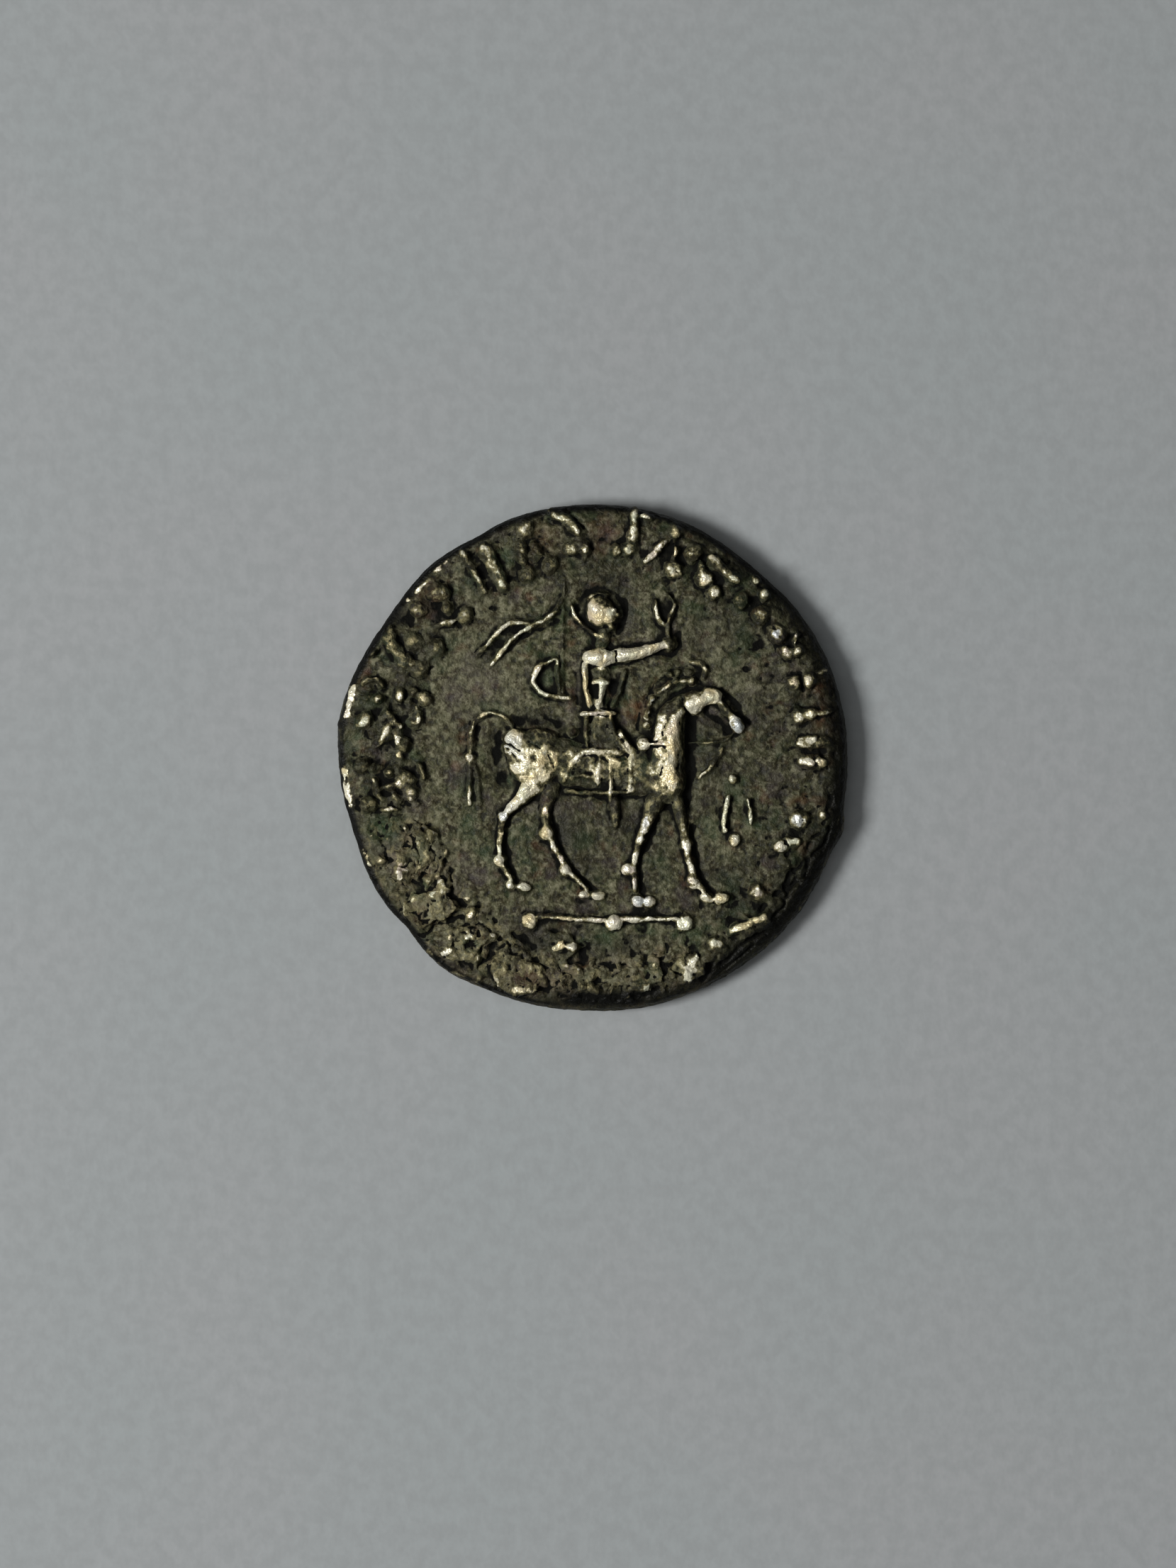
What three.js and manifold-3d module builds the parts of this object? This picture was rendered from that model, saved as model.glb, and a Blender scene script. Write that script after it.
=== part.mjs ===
// A struck silver drachm with a horseman, lying on the rim of its other side, horseman up.
// Millimetres, +Z up. The origin is the middle of the coin's outline, on the surface it lies on.
import * as THREE from "three";
import { mergeVertices } from "three/addons/utils/BufferGeometryUtils.js";
import Module from "manifold-3d";

const wasm = await Module();
wasm.setup();

// The flan, the blank that the dies struck
const flan = {
  radius: 7.78,
  upperField: 1.27, // the horseman side's flat field, above the table
  lowerField: 0.25, // the other side is struck a little hollow
  fieldEdge: 6.75, // where the upper field starts to round over
  widest: 0.64, // height of the edge's widest line
  segments: 72,
};

// Half of the flan's section, from the middle of the underside round the edge to the middle of the top
const flanProfile = [
  [0, flan.lowerField],
  [6.1, flan.lowerField],
  [6.5, 0],
  [7.0, 0],
  [7.46, 0.12],
  [7.71, 0.37],
  [flan.radius, flan.widest],
  [7.66, 0.92],
  [7.3, 1.14],
  [flan.fieldEdge, flan.upperField],
  [0, flan.upperField],
];

// How the outline leaves the circle: middle of each dent or lobe in degrees, its depth, its half width
const edgeChanges = [
  { at: 145, by: -0.15, spread: 12 },
  { at: 119, by: -0.1, spread: 7 },
  { at: 50, by: -0.15, spread: 15 },
  { at: 197, by: -0.1, spread: 9 },
  { at: 222, by: -0.08, spread: 4 },
  { at: 171, by: 0.1, spread: 8 },
  { at: 235, by: 0.12, spread: 7 },
  { at: 344, by: 0.17, spread: 4 },
  { at: 322, by: 0.08, spread: 14 },
  { at: 268, by: -0.05, spread: 10 },
];

// Where the upper edge slumps away wider than elsewhere
const slumps = [
  { at: 315, by: 0.26, spread: 34 },
  { at: 268, by: 0.24, spread: 14 },
  { at: 20, by: 0.12, spread: 34 },
];

const rootDepth = 0.2; // how far the relief's pieces run down into the flan
const bedding = 0.03; // how far a dome's widest ring lies under the field
const degrees = Math.PI / 180;

const smooth = (t) => THREE.MathUtils.smoothstep(t, 0, 1);

function bumpSum(changes, angle) {
  const turn = (a) => ((((a + 180) % 360) + 360) % 360) - 180;
  return changes.reduce(
    (sum, c) => sum + c.by * Math.exp(-((turn(angle - c.at) / c.spread) ** 2)),
    0,
  );
}

// Height of the upper surface at a radius, from the flan's profile
function surfaceAt(radius) {
  const outer = flanProfile.slice(6).reverse();
  for (let i = 1; i < outer.length; i++) {
    const [r0, z0] = outer[i - 1];
    const [r1, z1] = outer[i];
    if (radius <= r1) return THREE.MathUtils.mapLinear(Math.max(radius, r0), r0, r1, z0, z1);
  }
  return flan.widest;
}

// A closed geometry as a manifold-3d solid
function solidOf(geometry) {
  const bare = new THREE.BufferGeometry();
  bare.setAttribute("position", geometry.getAttribute("position"));
  bare.setIndex(geometry.index);
  const merged = mergeVertices(bare, 1e-4);
  const index = merged.index.array;
  const kept = [];
  for (let i = 0; i < index.length; i += 3) {
    const [a, b, c] = index.slice(i, i + 3);
    if (a !== b && b !== c && c !== a) kept.push(a, b, c);
  }
  return new wasm.Manifold(
    new wasm.Mesh({
      numProp: 3,
      vertProperties: merged.attributes.position.array,
      triVerts: new Uint32Array(kept),
    }),
  );
}

function flanSolid() {
  const profile = flanProfile.map(([r, z]) => new THREE.Vector2(r, z));
  const geometry = new THREE.LatheGeometry(profile, flan.segments);
  geometry.rotateX(Math.PI / 2);
  const place = geometry.getAttribute("position");
  for (let i = 0; i < place.count; i++) {
    const radius = Math.hypot(place.getX(i), place.getY(i));
    const angle = Math.atan2(place.getY(i), place.getX(i)) / degrees;
    const reach = smooth((radius - 5.6) / (flan.radius - 5.6));
    const grown = radius ? (radius + bumpSum(edgeChanges, angle) * reach) / radius : 1;
    const upper = place.getZ(i) > flan.widest ? 1 : 0;
    const drop = upper * bumpSum(slumps, angle) * smooth((radius - 6.8) / 0.8);
    place.setXYZ(i, place.getX(i) * grown, place.getY(i) * grown, place.getZ(i) - drop);
  }
  return solidOf(geometry);
}

// A low dome: middle, half sizes along and across, height, turn in degrees, and how finely it is cut
function dome(x, y, along, across, height, { turn = 0, sides = 8, rings = 6, base } = {}) {
  const geometry = new THREE.SphereGeometry(1, sides, rings);
  geometry.rotateX(Math.PI / 2);
  geometry.scale(along, across, height + bedding);
  geometry.rotateZ(turn * degrees);
  geometry.translate(x, y, (base ?? surfaceAt(Math.hypot(x, y))) - bedding);
  return solidOf(geometry);
}

const bead = (x, y, radius, height, options = {}) =>
  dome(x, y, radius, radius, height, { sides: radius < 0.25 ? 6 : 8, rings: 4, ...options });

// Sections across a band and a ridge, as shares of the half width and the height.
// The last two points go down into the flan.
const roundSection = [[1, 0.12], [0.72, 0.74], [0, 1], [-0.72, 0.74], [-1, 0.12],
  [-1, null], [1, null]];
const flatSection = [[1, 0.08], [0.45, 1], [-0.45, 1], [-1, 0.08], [-1, null], [1, null]];

// A half round band through stations [x, y, half width, height], with rounded ends
function band(stations, { base, section = roundSection, roundEnds = true } = {}) {
  const line = stations.map(([x, y, half, height]) => ({ x, y, half, height }));
  const heading = (a, b) => Math.atan2(b.y - a.y, b.x - a.x);
  if (roundEnds) {
    const tip = (end, next) => ({
      x: end.x - Math.cos(heading(end, next)) * end.half * 0.8,
      y: end.y - Math.sin(heading(end, next)) * end.half * 0.8,
      half: end.half * 0.5,
      height: end.height * 0.6,
    });
    line.unshift(tip(line[0], line[1]));
    line.push(tip(line[line.length - 1], line[line.length - 2]));
  }
  const points = [];
  line.forEach((s, i) => {
    const before = line[Math.max(i - 1, 0)];
    const after = line[Math.min(i + 1, line.length - 1)];
    const side = heading(before, after) - Math.PI / 2;
    const ground = base ?? surfaceAt(Math.hypot(s.x, s.y));
    for (const [across, up] of section)
      points.push(
        s.x + Math.cos(side) * across * s.half,
        s.y + Math.sin(side) * across * s.half,
        up === null ? ground - rootDepth : ground + up * s.height,
      );
  });
  const ring = section.length;
  const faces = [];
  for (let i = 0; i + 1 < line.length; i++)
    for (let k = 0; k < ring; k++) {
      const a = i * ring + k;
      const b = i * ring + ((k + 1) % ring);
      faces.push(a, a + ring, b, b, a + ring, b + ring);
    }
  const last = (line.length - 1) * ring;
  for (let k = 1; k + 1 < ring; k++) faces.push(0, k, k + 1, last, last + k + 1, last + k);
  const geometry = new THREE.BufferGeometry();
  geometry.setAttribute("position", new THREE.Float32BufferAttribute(points, 3));
  geometry.setIndex(faces);
  return solidOf(geometry);
}

// A line of one width through bare [x, y] points
const ridge = (points, half, height, options = {}) =>
  band(points.map(([x, y]) => [x, y, half, height]),
    { section: flatSection, roundEnds: false, ...options });

function arcPoints(middle, radius, from, to, steps) {
  return Array.from({ length: steps + 1 }, (_, i) => {
    const angle = THREE.MathUtils.lerp(from, to, i / steps) * degrees;
    return [middle[0] + radius * Math.cos(angle), middle[1] + radius * Math.sin(angle)];
  });
}

function polar(angle, radius) {
  return [radius * Math.cos(angle * degrees), radius * Math.sin(angle * degrees)];
}

// The horse walks to the right. A leg has its stations, the beads of its joints, and its hoof.
const legs = [
  {
    stations: [[-1.75, -0.65, 0.42, 0.32], [-2.2, -1.25, 0.22, 0.26], [-2.74, -1.7, 0.12, 0.2],
      [-2.88, -2.5, 0.1, 0.17], [-2.84, -3.12, 0.1, 0.16], [-2.5, -3.75, 0.1, 0.16]],
    joints: [[-2.77, -1.76, 0.17], [-2.87, -3.1, 0.2]],
    hoof: [-2.3, -3.88, 0.42, 0.2],
  },
  {
    stations: [[-1.35, -0.9, 0.22, 0.2], [-1.46, -1.7, 0.15, 0.17], [-1.42, -2.3, 0.12, 0.16],
      [-0.8, -3.4, 0.1, 0.16], [-0.2, -4.0, 0.09, 0.15]],
    joints: [[-1.43, -2.27, 0.23], [-0.8, -3.42, 0.2]],
    hoof: [-0.04, -4.18, 0.42, 0.18],
  },
  {
    stations: [[1.98, -1.2, 0.32, 0.3], [1.68, -1.8, 0.19, 0.26], [1.4, -2.5, 0.14, 0.22],
      [1.22, -3.1, 0.11, 0.18], [1.28, -4.0, 0.1, 0.16]],
    joints: [[1.46, -2.42, 0.17], [1.06, -3.4, 0.21]],
    hoof: [1.5, -4.34, 0.42, 0.22],
  },
  {
    stations: [[2.5, -1.2, 0.24, 0.26], [2.7, -2.1, 0.14, 0.2], [2.84, -2.75, 0.13, 0.2],
      [3.05, -3.65, 0.13, 0.18], [3.42, -4.1, 0.1, 0.16]],
    joints: [[2.8, -2.62, 0.19], [3.06, -3.78, 0.23]],
    hoof: [3.66, -4.22, 0.46, 0.2],
  },
];

const horse = {
  rump: { at: [-1.72, 0.2], along: 1.0, across: 0.98, height: 0.42 },
  barrel: [[-1.2, 0.02, 0.86, 0.33], [-0.3, -0.12, 0.74, 0.27], [0.7, -0.3, 0.84, 0.28],
    [1.8, -0.4, 0.9, 0.33]],
  chest: { at: [2.24, -0.45], along: 0.8, across: 0.86, height: 0.42 },
  neck: [[2.3, -0.3, 0.72, 0.38], [2.42, 0.3, 0.6, 0.44], [2.5, 0.95, 0.52, 0.42],
    [2.78, 1.55, 0.4, 0.36]],
  head: [[2.95, 1.62, 0.34, 0.34], [3.5, 1.72, 0.32, 0.36], [3.95, 1.4, 0.24, 0.3],
    [4.36, 1.0, 0.19, 0.26]],
  cheek: { at: [3.35, 1.72], along: 0.42, across: 0.34, height: 0.4 },
  ear: [[3.2, 2.02, 0.14, 0.26], [3.24, 2.68, 0.1, 0.2]],
  forelock: [[3.3, 2.74, 0.09, 0.16], [3.48, 2.3, 0.08, 0.18]],
  mane: { middle: [2.92, 1.08], radius: 1.24, from: 184, to: 90, tufts: 9, size: 0.12 },
  shoulderKnot: [1.72, 0.42, 0.24, 0.3],
  crupper: [[-0.62, 0.78, 0.16, 0.24]],
  tail: [[-2.45, 0.85], [-2.7, 1.25], [-3.2, 1.42], [-3.62, 1.15], [-3.77, 0.6], [-3.78, -0.1],
    [-3.8, -1.42]],
  tailStrand: [[-3.72, 0.0], [-3.52, -0.6], [-3.46, -1.45]],
  tailRing: [-3.78, 0.02, 0.17, 0.18],
  reins: [
    [[2.95, 0.46], [3.95, 0.46], [4.25, 0.85]],
    [[3.95, 0.46], [3.72, -0.12], [3.2, -0.62]],
  ],
};

function horseSolids() {
  const { rump, chest, cheek, mane } = horse;
  const round = (part, sides) =>
    dome(...part.at, part.along, part.across, part.height, { sides, rings: 8 });
  const parts = [
    round(rump, 14),
    band(horse.barrel),
    round(chest, 12),
    band(horse.neck),
    band(horse.head),
    round(cheek, 8),
    band(horse.ear),
    band(horse.forelock),
    bead(...horse.shoulderKnot),
    bead(...horse.crupper[0]),
    ridge(horse.tail, 0.08, 0.14),
    ridge(horse.tailStrand, 0.07, 0.12),
    bead(...horse.tailRing),
    ...horse.reins.map((line) => ridge(line, 0.055, 0.12)),
  ];
  for (const [x, y] of arcPoints(mane.middle, mane.radius, mane.from, mane.to, mane.tufts - 1))
    parts.push(bead(x, y, mane.size, 0.2, { sides: 6, rings: 4 }));
  parts.push(ridge(arcPoints(mane.middle, mane.radius - 0.2, 180, 92, 5), 0.07, 0.24));
  for (const leg of legs) {
    const [x, y, along, across] = leg.hoof;
    parts.push(band(leg.stations));
    parts.push(dome(x, y, along, across, 0.2, { rings: 4 }));
    for (const [jx, jy, size] of leg.joints) parts.push(bead(jx, jy, size, 0.24));
  }
  return parts;
}

// The rider, with the rod and its loop in the hand, the ties behind the head, and the bow case
const rider = {
  skull: { at: [0.22, 4.5], along: 0.46, across: 0.5, height: 0.4 },
  face: { at: [0.44, 4.26], along: 0.26, across: 0.34, height: 0.34 },
  nose: [0.7, 4.32, 0.1, 0.22],
  hood: [[-0.66, 4.66], [-0.5, 4.24], [-0.12, 3.86], [0.3, 3.68]],
  neck: [[0.28, 4.0, 0.2, 0.24], [0.24, 3.4, 0.24, 0.28]],
  torso: [[0.12, 3.14, 0.44, 0.36], [0.16, 2.7, 0.38, 0.34], [0.16, 2.1, 0.28, 0.3],
    [0.14, 1.5, 0.36, 0.3]],
  arm: [[0.5, 3.1, 0.24, 0.36], [1.3, 3.2, 0.2, 0.34], [2.2, 3.44, 0.12, 0.28]],
  hand: [2.34, 3.5, 0.2, 0.26],
  belt: [[-0.34, 1.36], [0.14, 1.43], [0.62, 1.4]],
  coatEdges: [
    [[-0.26, 2.9], [-0.12, 1.7]],
    [[0.18, 2.7], [0.14, 1.6]],
    [[0.98, 2.75], [0.84, 2.2], [0.6, 1.6]],
  ],
  skirt: [[0.2, 1.15, 0.36, 0.26], [0.34, 0.6, 0.5, 0.26], [0.45, 0.15, 0.72, 0.24]],
  skirtEdges: [
    [[-0.1, 1.2], [-0.08, 0.4]],
    [[0.5, 1.2], [0.82, 0.62], [1.2, -0.02]],
  ],
  shin: [[1.22, -0.08, 0.12, 0.36], [1.24, -0.98, 0.1, 0.28]],
  foot: [[0.62, -1.1, 0.13, 0.2], [0.66, -1.7, 0.17, 0.2], [0.68, -2.1, 0.08, 0.14]],
  cloth: [
    [[-0.36, 0.08], [-0.9, -0.7]],
    [[-0.34, 0.12], [1.05, 0.14]],
    [[0.08, 0.1], [0.02, -0.9]],
    [[0.6, 0.0], [0.58, -0.95]],
    [[-0.9, -0.74], [0.2, -0.98], [1.2, -1.04]],
  ],
  rodLoop: [
    [[2.16, 4.12], [1.92, 4.34], [1.92, 4.86]],
    [[2.24, 4.98], [2.52, 4.74], [2.22, 4.12], [2.28, 3.6]],
  ],
  ties: [
    [[-0.97, 4.8], [-1.21, 4.42], [-1.75, 4.11], [-2.29, 3.82], [-2.67, 3.44], [-3.11, 2.9]],
    [[-2.0, 4.14], [-2.56, 4.16], [-2.89, 3.87], [-3.21, 3.55], [-3.54, 3.2]],
  ],
  bow: {
    stave: [[-0.92, 5.5], [-0.93, 3.2], [-0.9, 1.95]],
    string: [[-1.12, 3.06], [-1.04, 1.98]],
    limb: [[-1.16, 3.04], [-1.58, 2.8], [-1.84, 2.5], [-1.7, 2.14], [-1.36, 1.9], [-0.68, 1.84]],
  },
};

function riderSolids() {
  const { skull, face, bow } = rider;
  return [
    dome(...skull.at, skull.along, skull.across, skull.height, { sides: 10 }),
    dome(...face.at, face.along, face.across, face.height),
    bead(...rider.nose, { sides: 6, rings: 4 }),
    ridge(rider.hood, 0.07, 0.2),
    band(rider.neck),
    band(rider.torso),
    band(rider.arm),
    bead(...rider.hand),
    ridge(rider.belt, 0.1, 0.4),
    ...rider.coatEdges.map((line) => ridge(line, 0.07, 0.38)),
    band(rider.skirt),
    ...rider.skirtEdges.map((line) => ridge(line, 0.08, 0.34)),
    band(rider.shin),
    band(rider.foot),
    ...rider.cloth.map((line) => ridge(line, 0.09, 0.36)),
    ...rider.rodLoop.map((line) => ridge(line, 0.065, 0.15)),
    ...rider.ties.map((line) => ridge(line, 0.075, 0.14)),
    ridge(bow.stave, 0.06, 0.09),
    ridge(bow.string, 0.07, 0.14),
    ridge(bow.limb, 0.09, 0.18),
  ];
}

// The line that the horse walks on, and a small mark of bars and beads in the field before it
const groundLine = {
  beads: [[-1.95, -4.95, 0.28], [0.6, -5.02, 0.27], [2.8, -5.0, 0.29]],
  half: 0.07,
  height: 0.13,
};

const fieldMark = {
  beads: [[4.25, -0.62, 0.15], [4.31, -2.48, 0.18]],
  bars: [
    [[4.13, -1.15], [3.98, -2.05]],
    [[4.72, -1.3], [4.8, -1.95]],
  ],
};

function fieldSolids() {
  const { beads } = groundLine;
  const parts = [...beads, ...fieldMark.beads].map(([x, y, r]) => bead(x, y, r, 0.24));
  for (let i = 0; i + 1 < beads.length; i++) {
    const [x0, y0] = beads[i];
    const [x1, y1] = beads[i + 1];
    parts.push(ridge([[x0, y0 + 0.1], [x1, y1 + 0.1]], groundLine.half, groundLine.height));
  }
  for (const bar of fieldMark.bars) parts.push(ridge(bar, 0.085, 0.17));
  return parts;
}

// Worn signs round the border, as plain strokes and beads: [angle in degrees, kind]
const signs = [
  [304, "bead"], [313, "across"], [320.5, "bead"], [336, "short"], [343, "bead"],
  [2.5, "twin"], [12, "bar"], [20.5, "bar"], [29, "bar"], [34.5, "bead"], [40.5, "bead"],
  [47.5, "bead"], [53, "outer"], [57, "pair"], [67.5, "bead"], [73.5, "slant"], [82, "bar"],
  [92, "pair"], [97, "outer"], [102.5, "bead"], [110, "bar"], [120, "twin"], [132.5, "bead"],
  [134, "outer"], [137, "slant"], [145.5, "bead"], [150, "bar"], [161, "bead"], [165, "outer"],
  [168, "bead"], [171.5, "outer"], [176, "bead"], [182, "outer"], [189.5, "pair"],
  [199, "short"], [207, "pair"], [210.5, "outer"], [232, "bead"],
];

const signSize = { bead: 0.24, barHalf: 0.13, barHeight: 0.17, beadHeight: 0.23 };

// The inner ends of the signs lie further in on the left
const innerRow = (angle) => 6.12 + 0.38 * Math.cos((angle - 30) * degrees);

function signSolids(angle, kind) {
  const row = innerRow(angle);
  const dot = (turn, out, size = signSize.bead) =>
    bead(...polar(angle + turn, row + out), size, signSize.beadHeight);
  const stroke = (from, to) =>
    ridge([polar(angle + from[0], row + from[1]), polar(angle + to[0], row + to[1])],
      signSize.barHalf, signSize.barHeight);
  return {
    bead: () => [dot(0, 0, 0.26)],
    outer: () => [dot(0, 0.85, 0.2)],
    pair: () => [dot(-2.1, 0), dot(2.3, 0)],
    bar: () => [stroke([0, 0], [0, 0.95]), dot(0, 0, 0.21)],
    short: () => [stroke([0, 0], [0, 0.4])],
    twin: () => [-2.8, 2.8].flatMap((turn) => [stroke([turn, 0], [turn, 1]), dot(turn, 0, 0.18)]),
    slant: () => [stroke([1.6, 0], [-1.6, 0.7])],
    across: () => [stroke([-3, 0.35], [4, 0.75])],
  }[kind]();
}

// Corroded metal that stands up in lumps along the lower border: angles, radii, and how many lumps
const crusts = [
  { from: 196, to: 206, inner: 6.4, outer: 7.1, lumps: 2 },
  { from: 213, to: 224, inner: 6.3, outer: 7.2, lumps: 4 },
  { from: 230, to: 239, inner: 6.3, outer: 7.3, lumps: 4 },
  { from: 242, to: 259, inner: 6.4, outer: 7.3, lumps: 6 },
  { from: 276, to: 291, inner: 6.3, outer: 7.1, lumps: 4 },
];

// A repeatable run of shares between 0 and 1
function shareRun(seed) {
  let state = seed;
  return () => {
    state = (state * 16807) % 2147483647;
    return state / 2147483647;
  };
}

function crustSolids() {
  const share = shareRun(77);
  const between = (low, high) => THREE.MathUtils.lerp(low, high, share());
  return crusts.flatMap(({ from, to, inner, outer, lumps }) =>
    Array.from({ length: lumps }, (_, i) => {
      const angle = THREE.MathUtils.lerp(from, to, (i + between(0.2, 0.8)) / lumps);
      const [x, y] = polar(angle, between(inner, outer));
      const turn = angle + 90 + between(-40, 40);
      return dome(x, y, between(0.34, 0.58), between(0.2, 0.36), between(0.09, 0.17),
        { turn, sides: 6, rings: 4 });
    }),
  );
}

// The other side, plainer: a draped figure with a staff and a round shield, inside a ring of strokes.
// It is drawn as seen from below.
const back = {
  head: [0.1, 3.75, 0.42, 0.5, 0.18],
  torso: [[0.05, 3.0, 0.55, 0.15], [0.05, 2.2, 0.5, 0.18], [0.05, 1.4, 0.42, 0.16]],
  robe: [[0.05, 1.1, 0.5, 0.15], [0.1, -0.8, 0.74, 0.17], [0.15, -2.8, 0.95, 0.16]],
  folds: [
    [[-0.2, 1.0], [-0.45, -2.8]],
    [[0.08, 1.0], [0.15, -2.9]],
    [[0.35, 1.0], [0.7, -2.8]],
  ],
  arms: [
    [[-0.45, 2.9, 0.17, 0.14], [-1.2, 2.2, 0.15, 0.13], [-1.78, 2.65, 0.12, 0.12]],
    [[0.55, 2.9, 0.17, 0.14], [1.15, 2.1, 0.15, 0.13], [1.5, 1.5, 0.13, 0.12]],
  ],
  staff: [[-1.85, 4.2], [-1.78, -3.3]],
  shield: { at: [1.85, 0.9], radius: 0.85, boss: 0.24 },
  feet: [[-0.35, -3.2], [0.6, -3.2]],
  line: [[-2.2, -3.7], [2.2, -3.7]],
  strokes: { count: 24, inner: 4.85, outer: 5.6 },
};

function backSolids() {
  const base = 0;
  const { shield, strokes } = back;
  const parts = [
    dome(...back.head, { base }),
    band(back.torso, { base }),
    band(back.robe, { base }),
    ...back.folds.map((line) => ridge(line, 0.07, 0.21, { base })),
    ...back.arms.map((line) => band(line, { base })),
    ridge(back.staff, 0.07, 0.12, { base }),
    dome(...shield.at, shield.radius, shield.radius, 0.12, { base, sides: 12, rings: 4 }),
    bead(...shield.at, shield.boss, 0.2, { base }),
    ...back.feet.map(([x, y]) => dome(x, y, 0.26, 0.15, 0.13, { base, rings: 4 })),
    ridge(back.line, 0.07, 0.12, { base }),
  ];
  for (let i = 0; i < strokes.count; i++) {
    const angle = (i / strokes.count) * 360;
    const outer = strokes.outer - (i % 3) * 0.16;
    parts.push(ridge([polar(angle, strokes.inner), polar(angle, outer)], 0.1, 0.13, { base }));
  }
  return parts.map((part) => part.rotate([180, 0, 0]).translate([0, 0, flan.lowerField]));
}

const struck = wasm.Manifold.union([
  flanSolid(),
  ...horseSolids(),
  ...riderSolids(),
  ...fieldSolids(),
  ...signs.flatMap(([angle, kind]) => signSolids(angle, kind)),
  ...crustSolids(),
  ...backSolids(),
]);

// Specks where two pieces barely cross are closed up, and the outline's middle goes over the origin
const cleaned = struck.simplify(0.008);
const { min, max } = cleaned.boundingBox();
const centred = cleaned.translate([-(min[0] + max[0]) / 2, -(min[1] + max[1]) / 2, -min[2]]);

function geometryOf(solid) {
  const mesh = solid.getMesh();
  const geometry = new THREE.BufferGeometry();
  geometry.setAttribute("position", new THREE.BufferAttribute(mesh.vertProperties, 3));
  geometry.setIndex(new THREE.BufferAttribute(mesh.triVerts, 1));
  geometry.computeVertexNormals();
  return geometry;
}

const tonedSilver = new THREE.MeshStandardMaterial({
  color: 0x77725f,
  metalness: 0.85,
  roughness: 0.45,
});
const coin = new THREE.Mesh(geometryOf(centred), tonedSilver);
coin.name = "drachm";

const model = new THREE.Group();
model.add(coin);
export default model;
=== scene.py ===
import math
import random

import bpy
import numpy as np
from mathutils import Matrix, Vector


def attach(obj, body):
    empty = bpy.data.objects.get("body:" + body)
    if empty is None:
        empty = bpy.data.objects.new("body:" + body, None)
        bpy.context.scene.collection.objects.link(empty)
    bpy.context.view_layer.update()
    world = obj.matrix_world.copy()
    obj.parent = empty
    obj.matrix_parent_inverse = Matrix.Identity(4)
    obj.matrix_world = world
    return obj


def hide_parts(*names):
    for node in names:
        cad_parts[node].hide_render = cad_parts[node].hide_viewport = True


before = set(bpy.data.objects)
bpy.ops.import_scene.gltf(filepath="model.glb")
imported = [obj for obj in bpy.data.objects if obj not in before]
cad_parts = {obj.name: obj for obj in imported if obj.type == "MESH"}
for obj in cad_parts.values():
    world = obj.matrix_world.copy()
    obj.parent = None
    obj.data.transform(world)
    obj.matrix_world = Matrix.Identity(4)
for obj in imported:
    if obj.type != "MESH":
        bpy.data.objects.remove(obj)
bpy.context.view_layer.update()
bpy.ops.object.select_all(action="DESELECT")
chance = random.Random(41)
parts = []  # everything that is joined into the coin

# Flan
flan = {
    "radius": 7.78,
    "sides": 360,
    "upperField": 1.27,
    "lowerField": 0.25,
    "widest": 0.64,
    # radius and height, from the underside's hollow round the edge to the upper field
    "section": [(6.1, 0.25), (6.5, 0.0), (7.0, 0.0), (7.46, 0.12), (7.71, 0.37), (7.78, 0.64),
                (7.77, 0.9), (7.68, 1.1), (7.52, 1.21), (7.2, 1.27)],
    # dents and lobes of the outline: middle in degrees, depth, half width in degrees
    "lobes": [(145, -0.15, 12), (119, -0.10, 7), (50, -0.15, 15), (197, -0.10, 9), (222, -0.08, 4),
              (171, 0.10, 8), (235, 0.12, 7), (344, 0.17, 4), (322, 0.08, 14), (268, -0.05, 10)],
    # where the upper edge slumps away
    "slumps": [(315, 0.24, 34), (268, 0.24, 14), (30, 0.16, 36)],
    # radii from which the lobes and the slumps set in
    "lobesFrom": 5.6,
    "slumpsFrom": (7.0, 7.7),
}


def fade(gap, half):  # 1 in the middle, and little left past the half width
    return np.exp(-((gap / half) ** 2))


def lobeSum(lobes, angle):
    total = 0
    for middle, amount, spread in lobes:
        total = total + amount * fade((angle - middle + 180) % 360 - 180, spread)
    return total


def smoothStep(low, high, value):
    share = np.clip((value - low) / (high - low), 0, 1)
    return share * share * (3 - 2 * share)


def slumpAt(radius, angle):
    return lobeSum(flan["slumps"], angle) * smoothStep(*flan["slumpsFrom"], radius)


def fieldHeight(radius, angle):  # the upper surface without its relief
    upper = [point for point in flan["section"] if point[1] >= flan["widest"]][::-1]
    level = np.interp(radius, [point[0] for point in upper], [point[1] for point in upper])
    return level - slumpAt(radius, angle)


def groundAt(x, y):
    return fieldHeight(math.hypot(x, y), math.degrees(math.atan2(y, x)))


def polarOf(place):  # radius and angle of each point
    return np.hypot(place[:, 0], place[:, 1]), np.degrees(np.arctan2(place[:, 1], place[:, 0]))


def fieldAt(place):
    return fieldHeight(*polarOf(place))


def polar(angle, radius):
    return radius * math.cos(math.radians(angle)), radius * math.sin(math.radians(angle))


def enter(mode):
    bpy.ops.object.mode_set(mode=mode)


def extrudeUp(height, grow, middle):
    bpy.ops.mesh.extrude_region_move(TRANSFORM_OT_translate={"value": (0, 0, height)})
    bpy.ops.transform.resize(value=(grow, grow, 1), center_override=middle)


def faceOutwards():
    bpy.ops.mesh.select_all(action="SELECT")
    bpy.ops.mesh.normals_make_consistent(inside=False)


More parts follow.
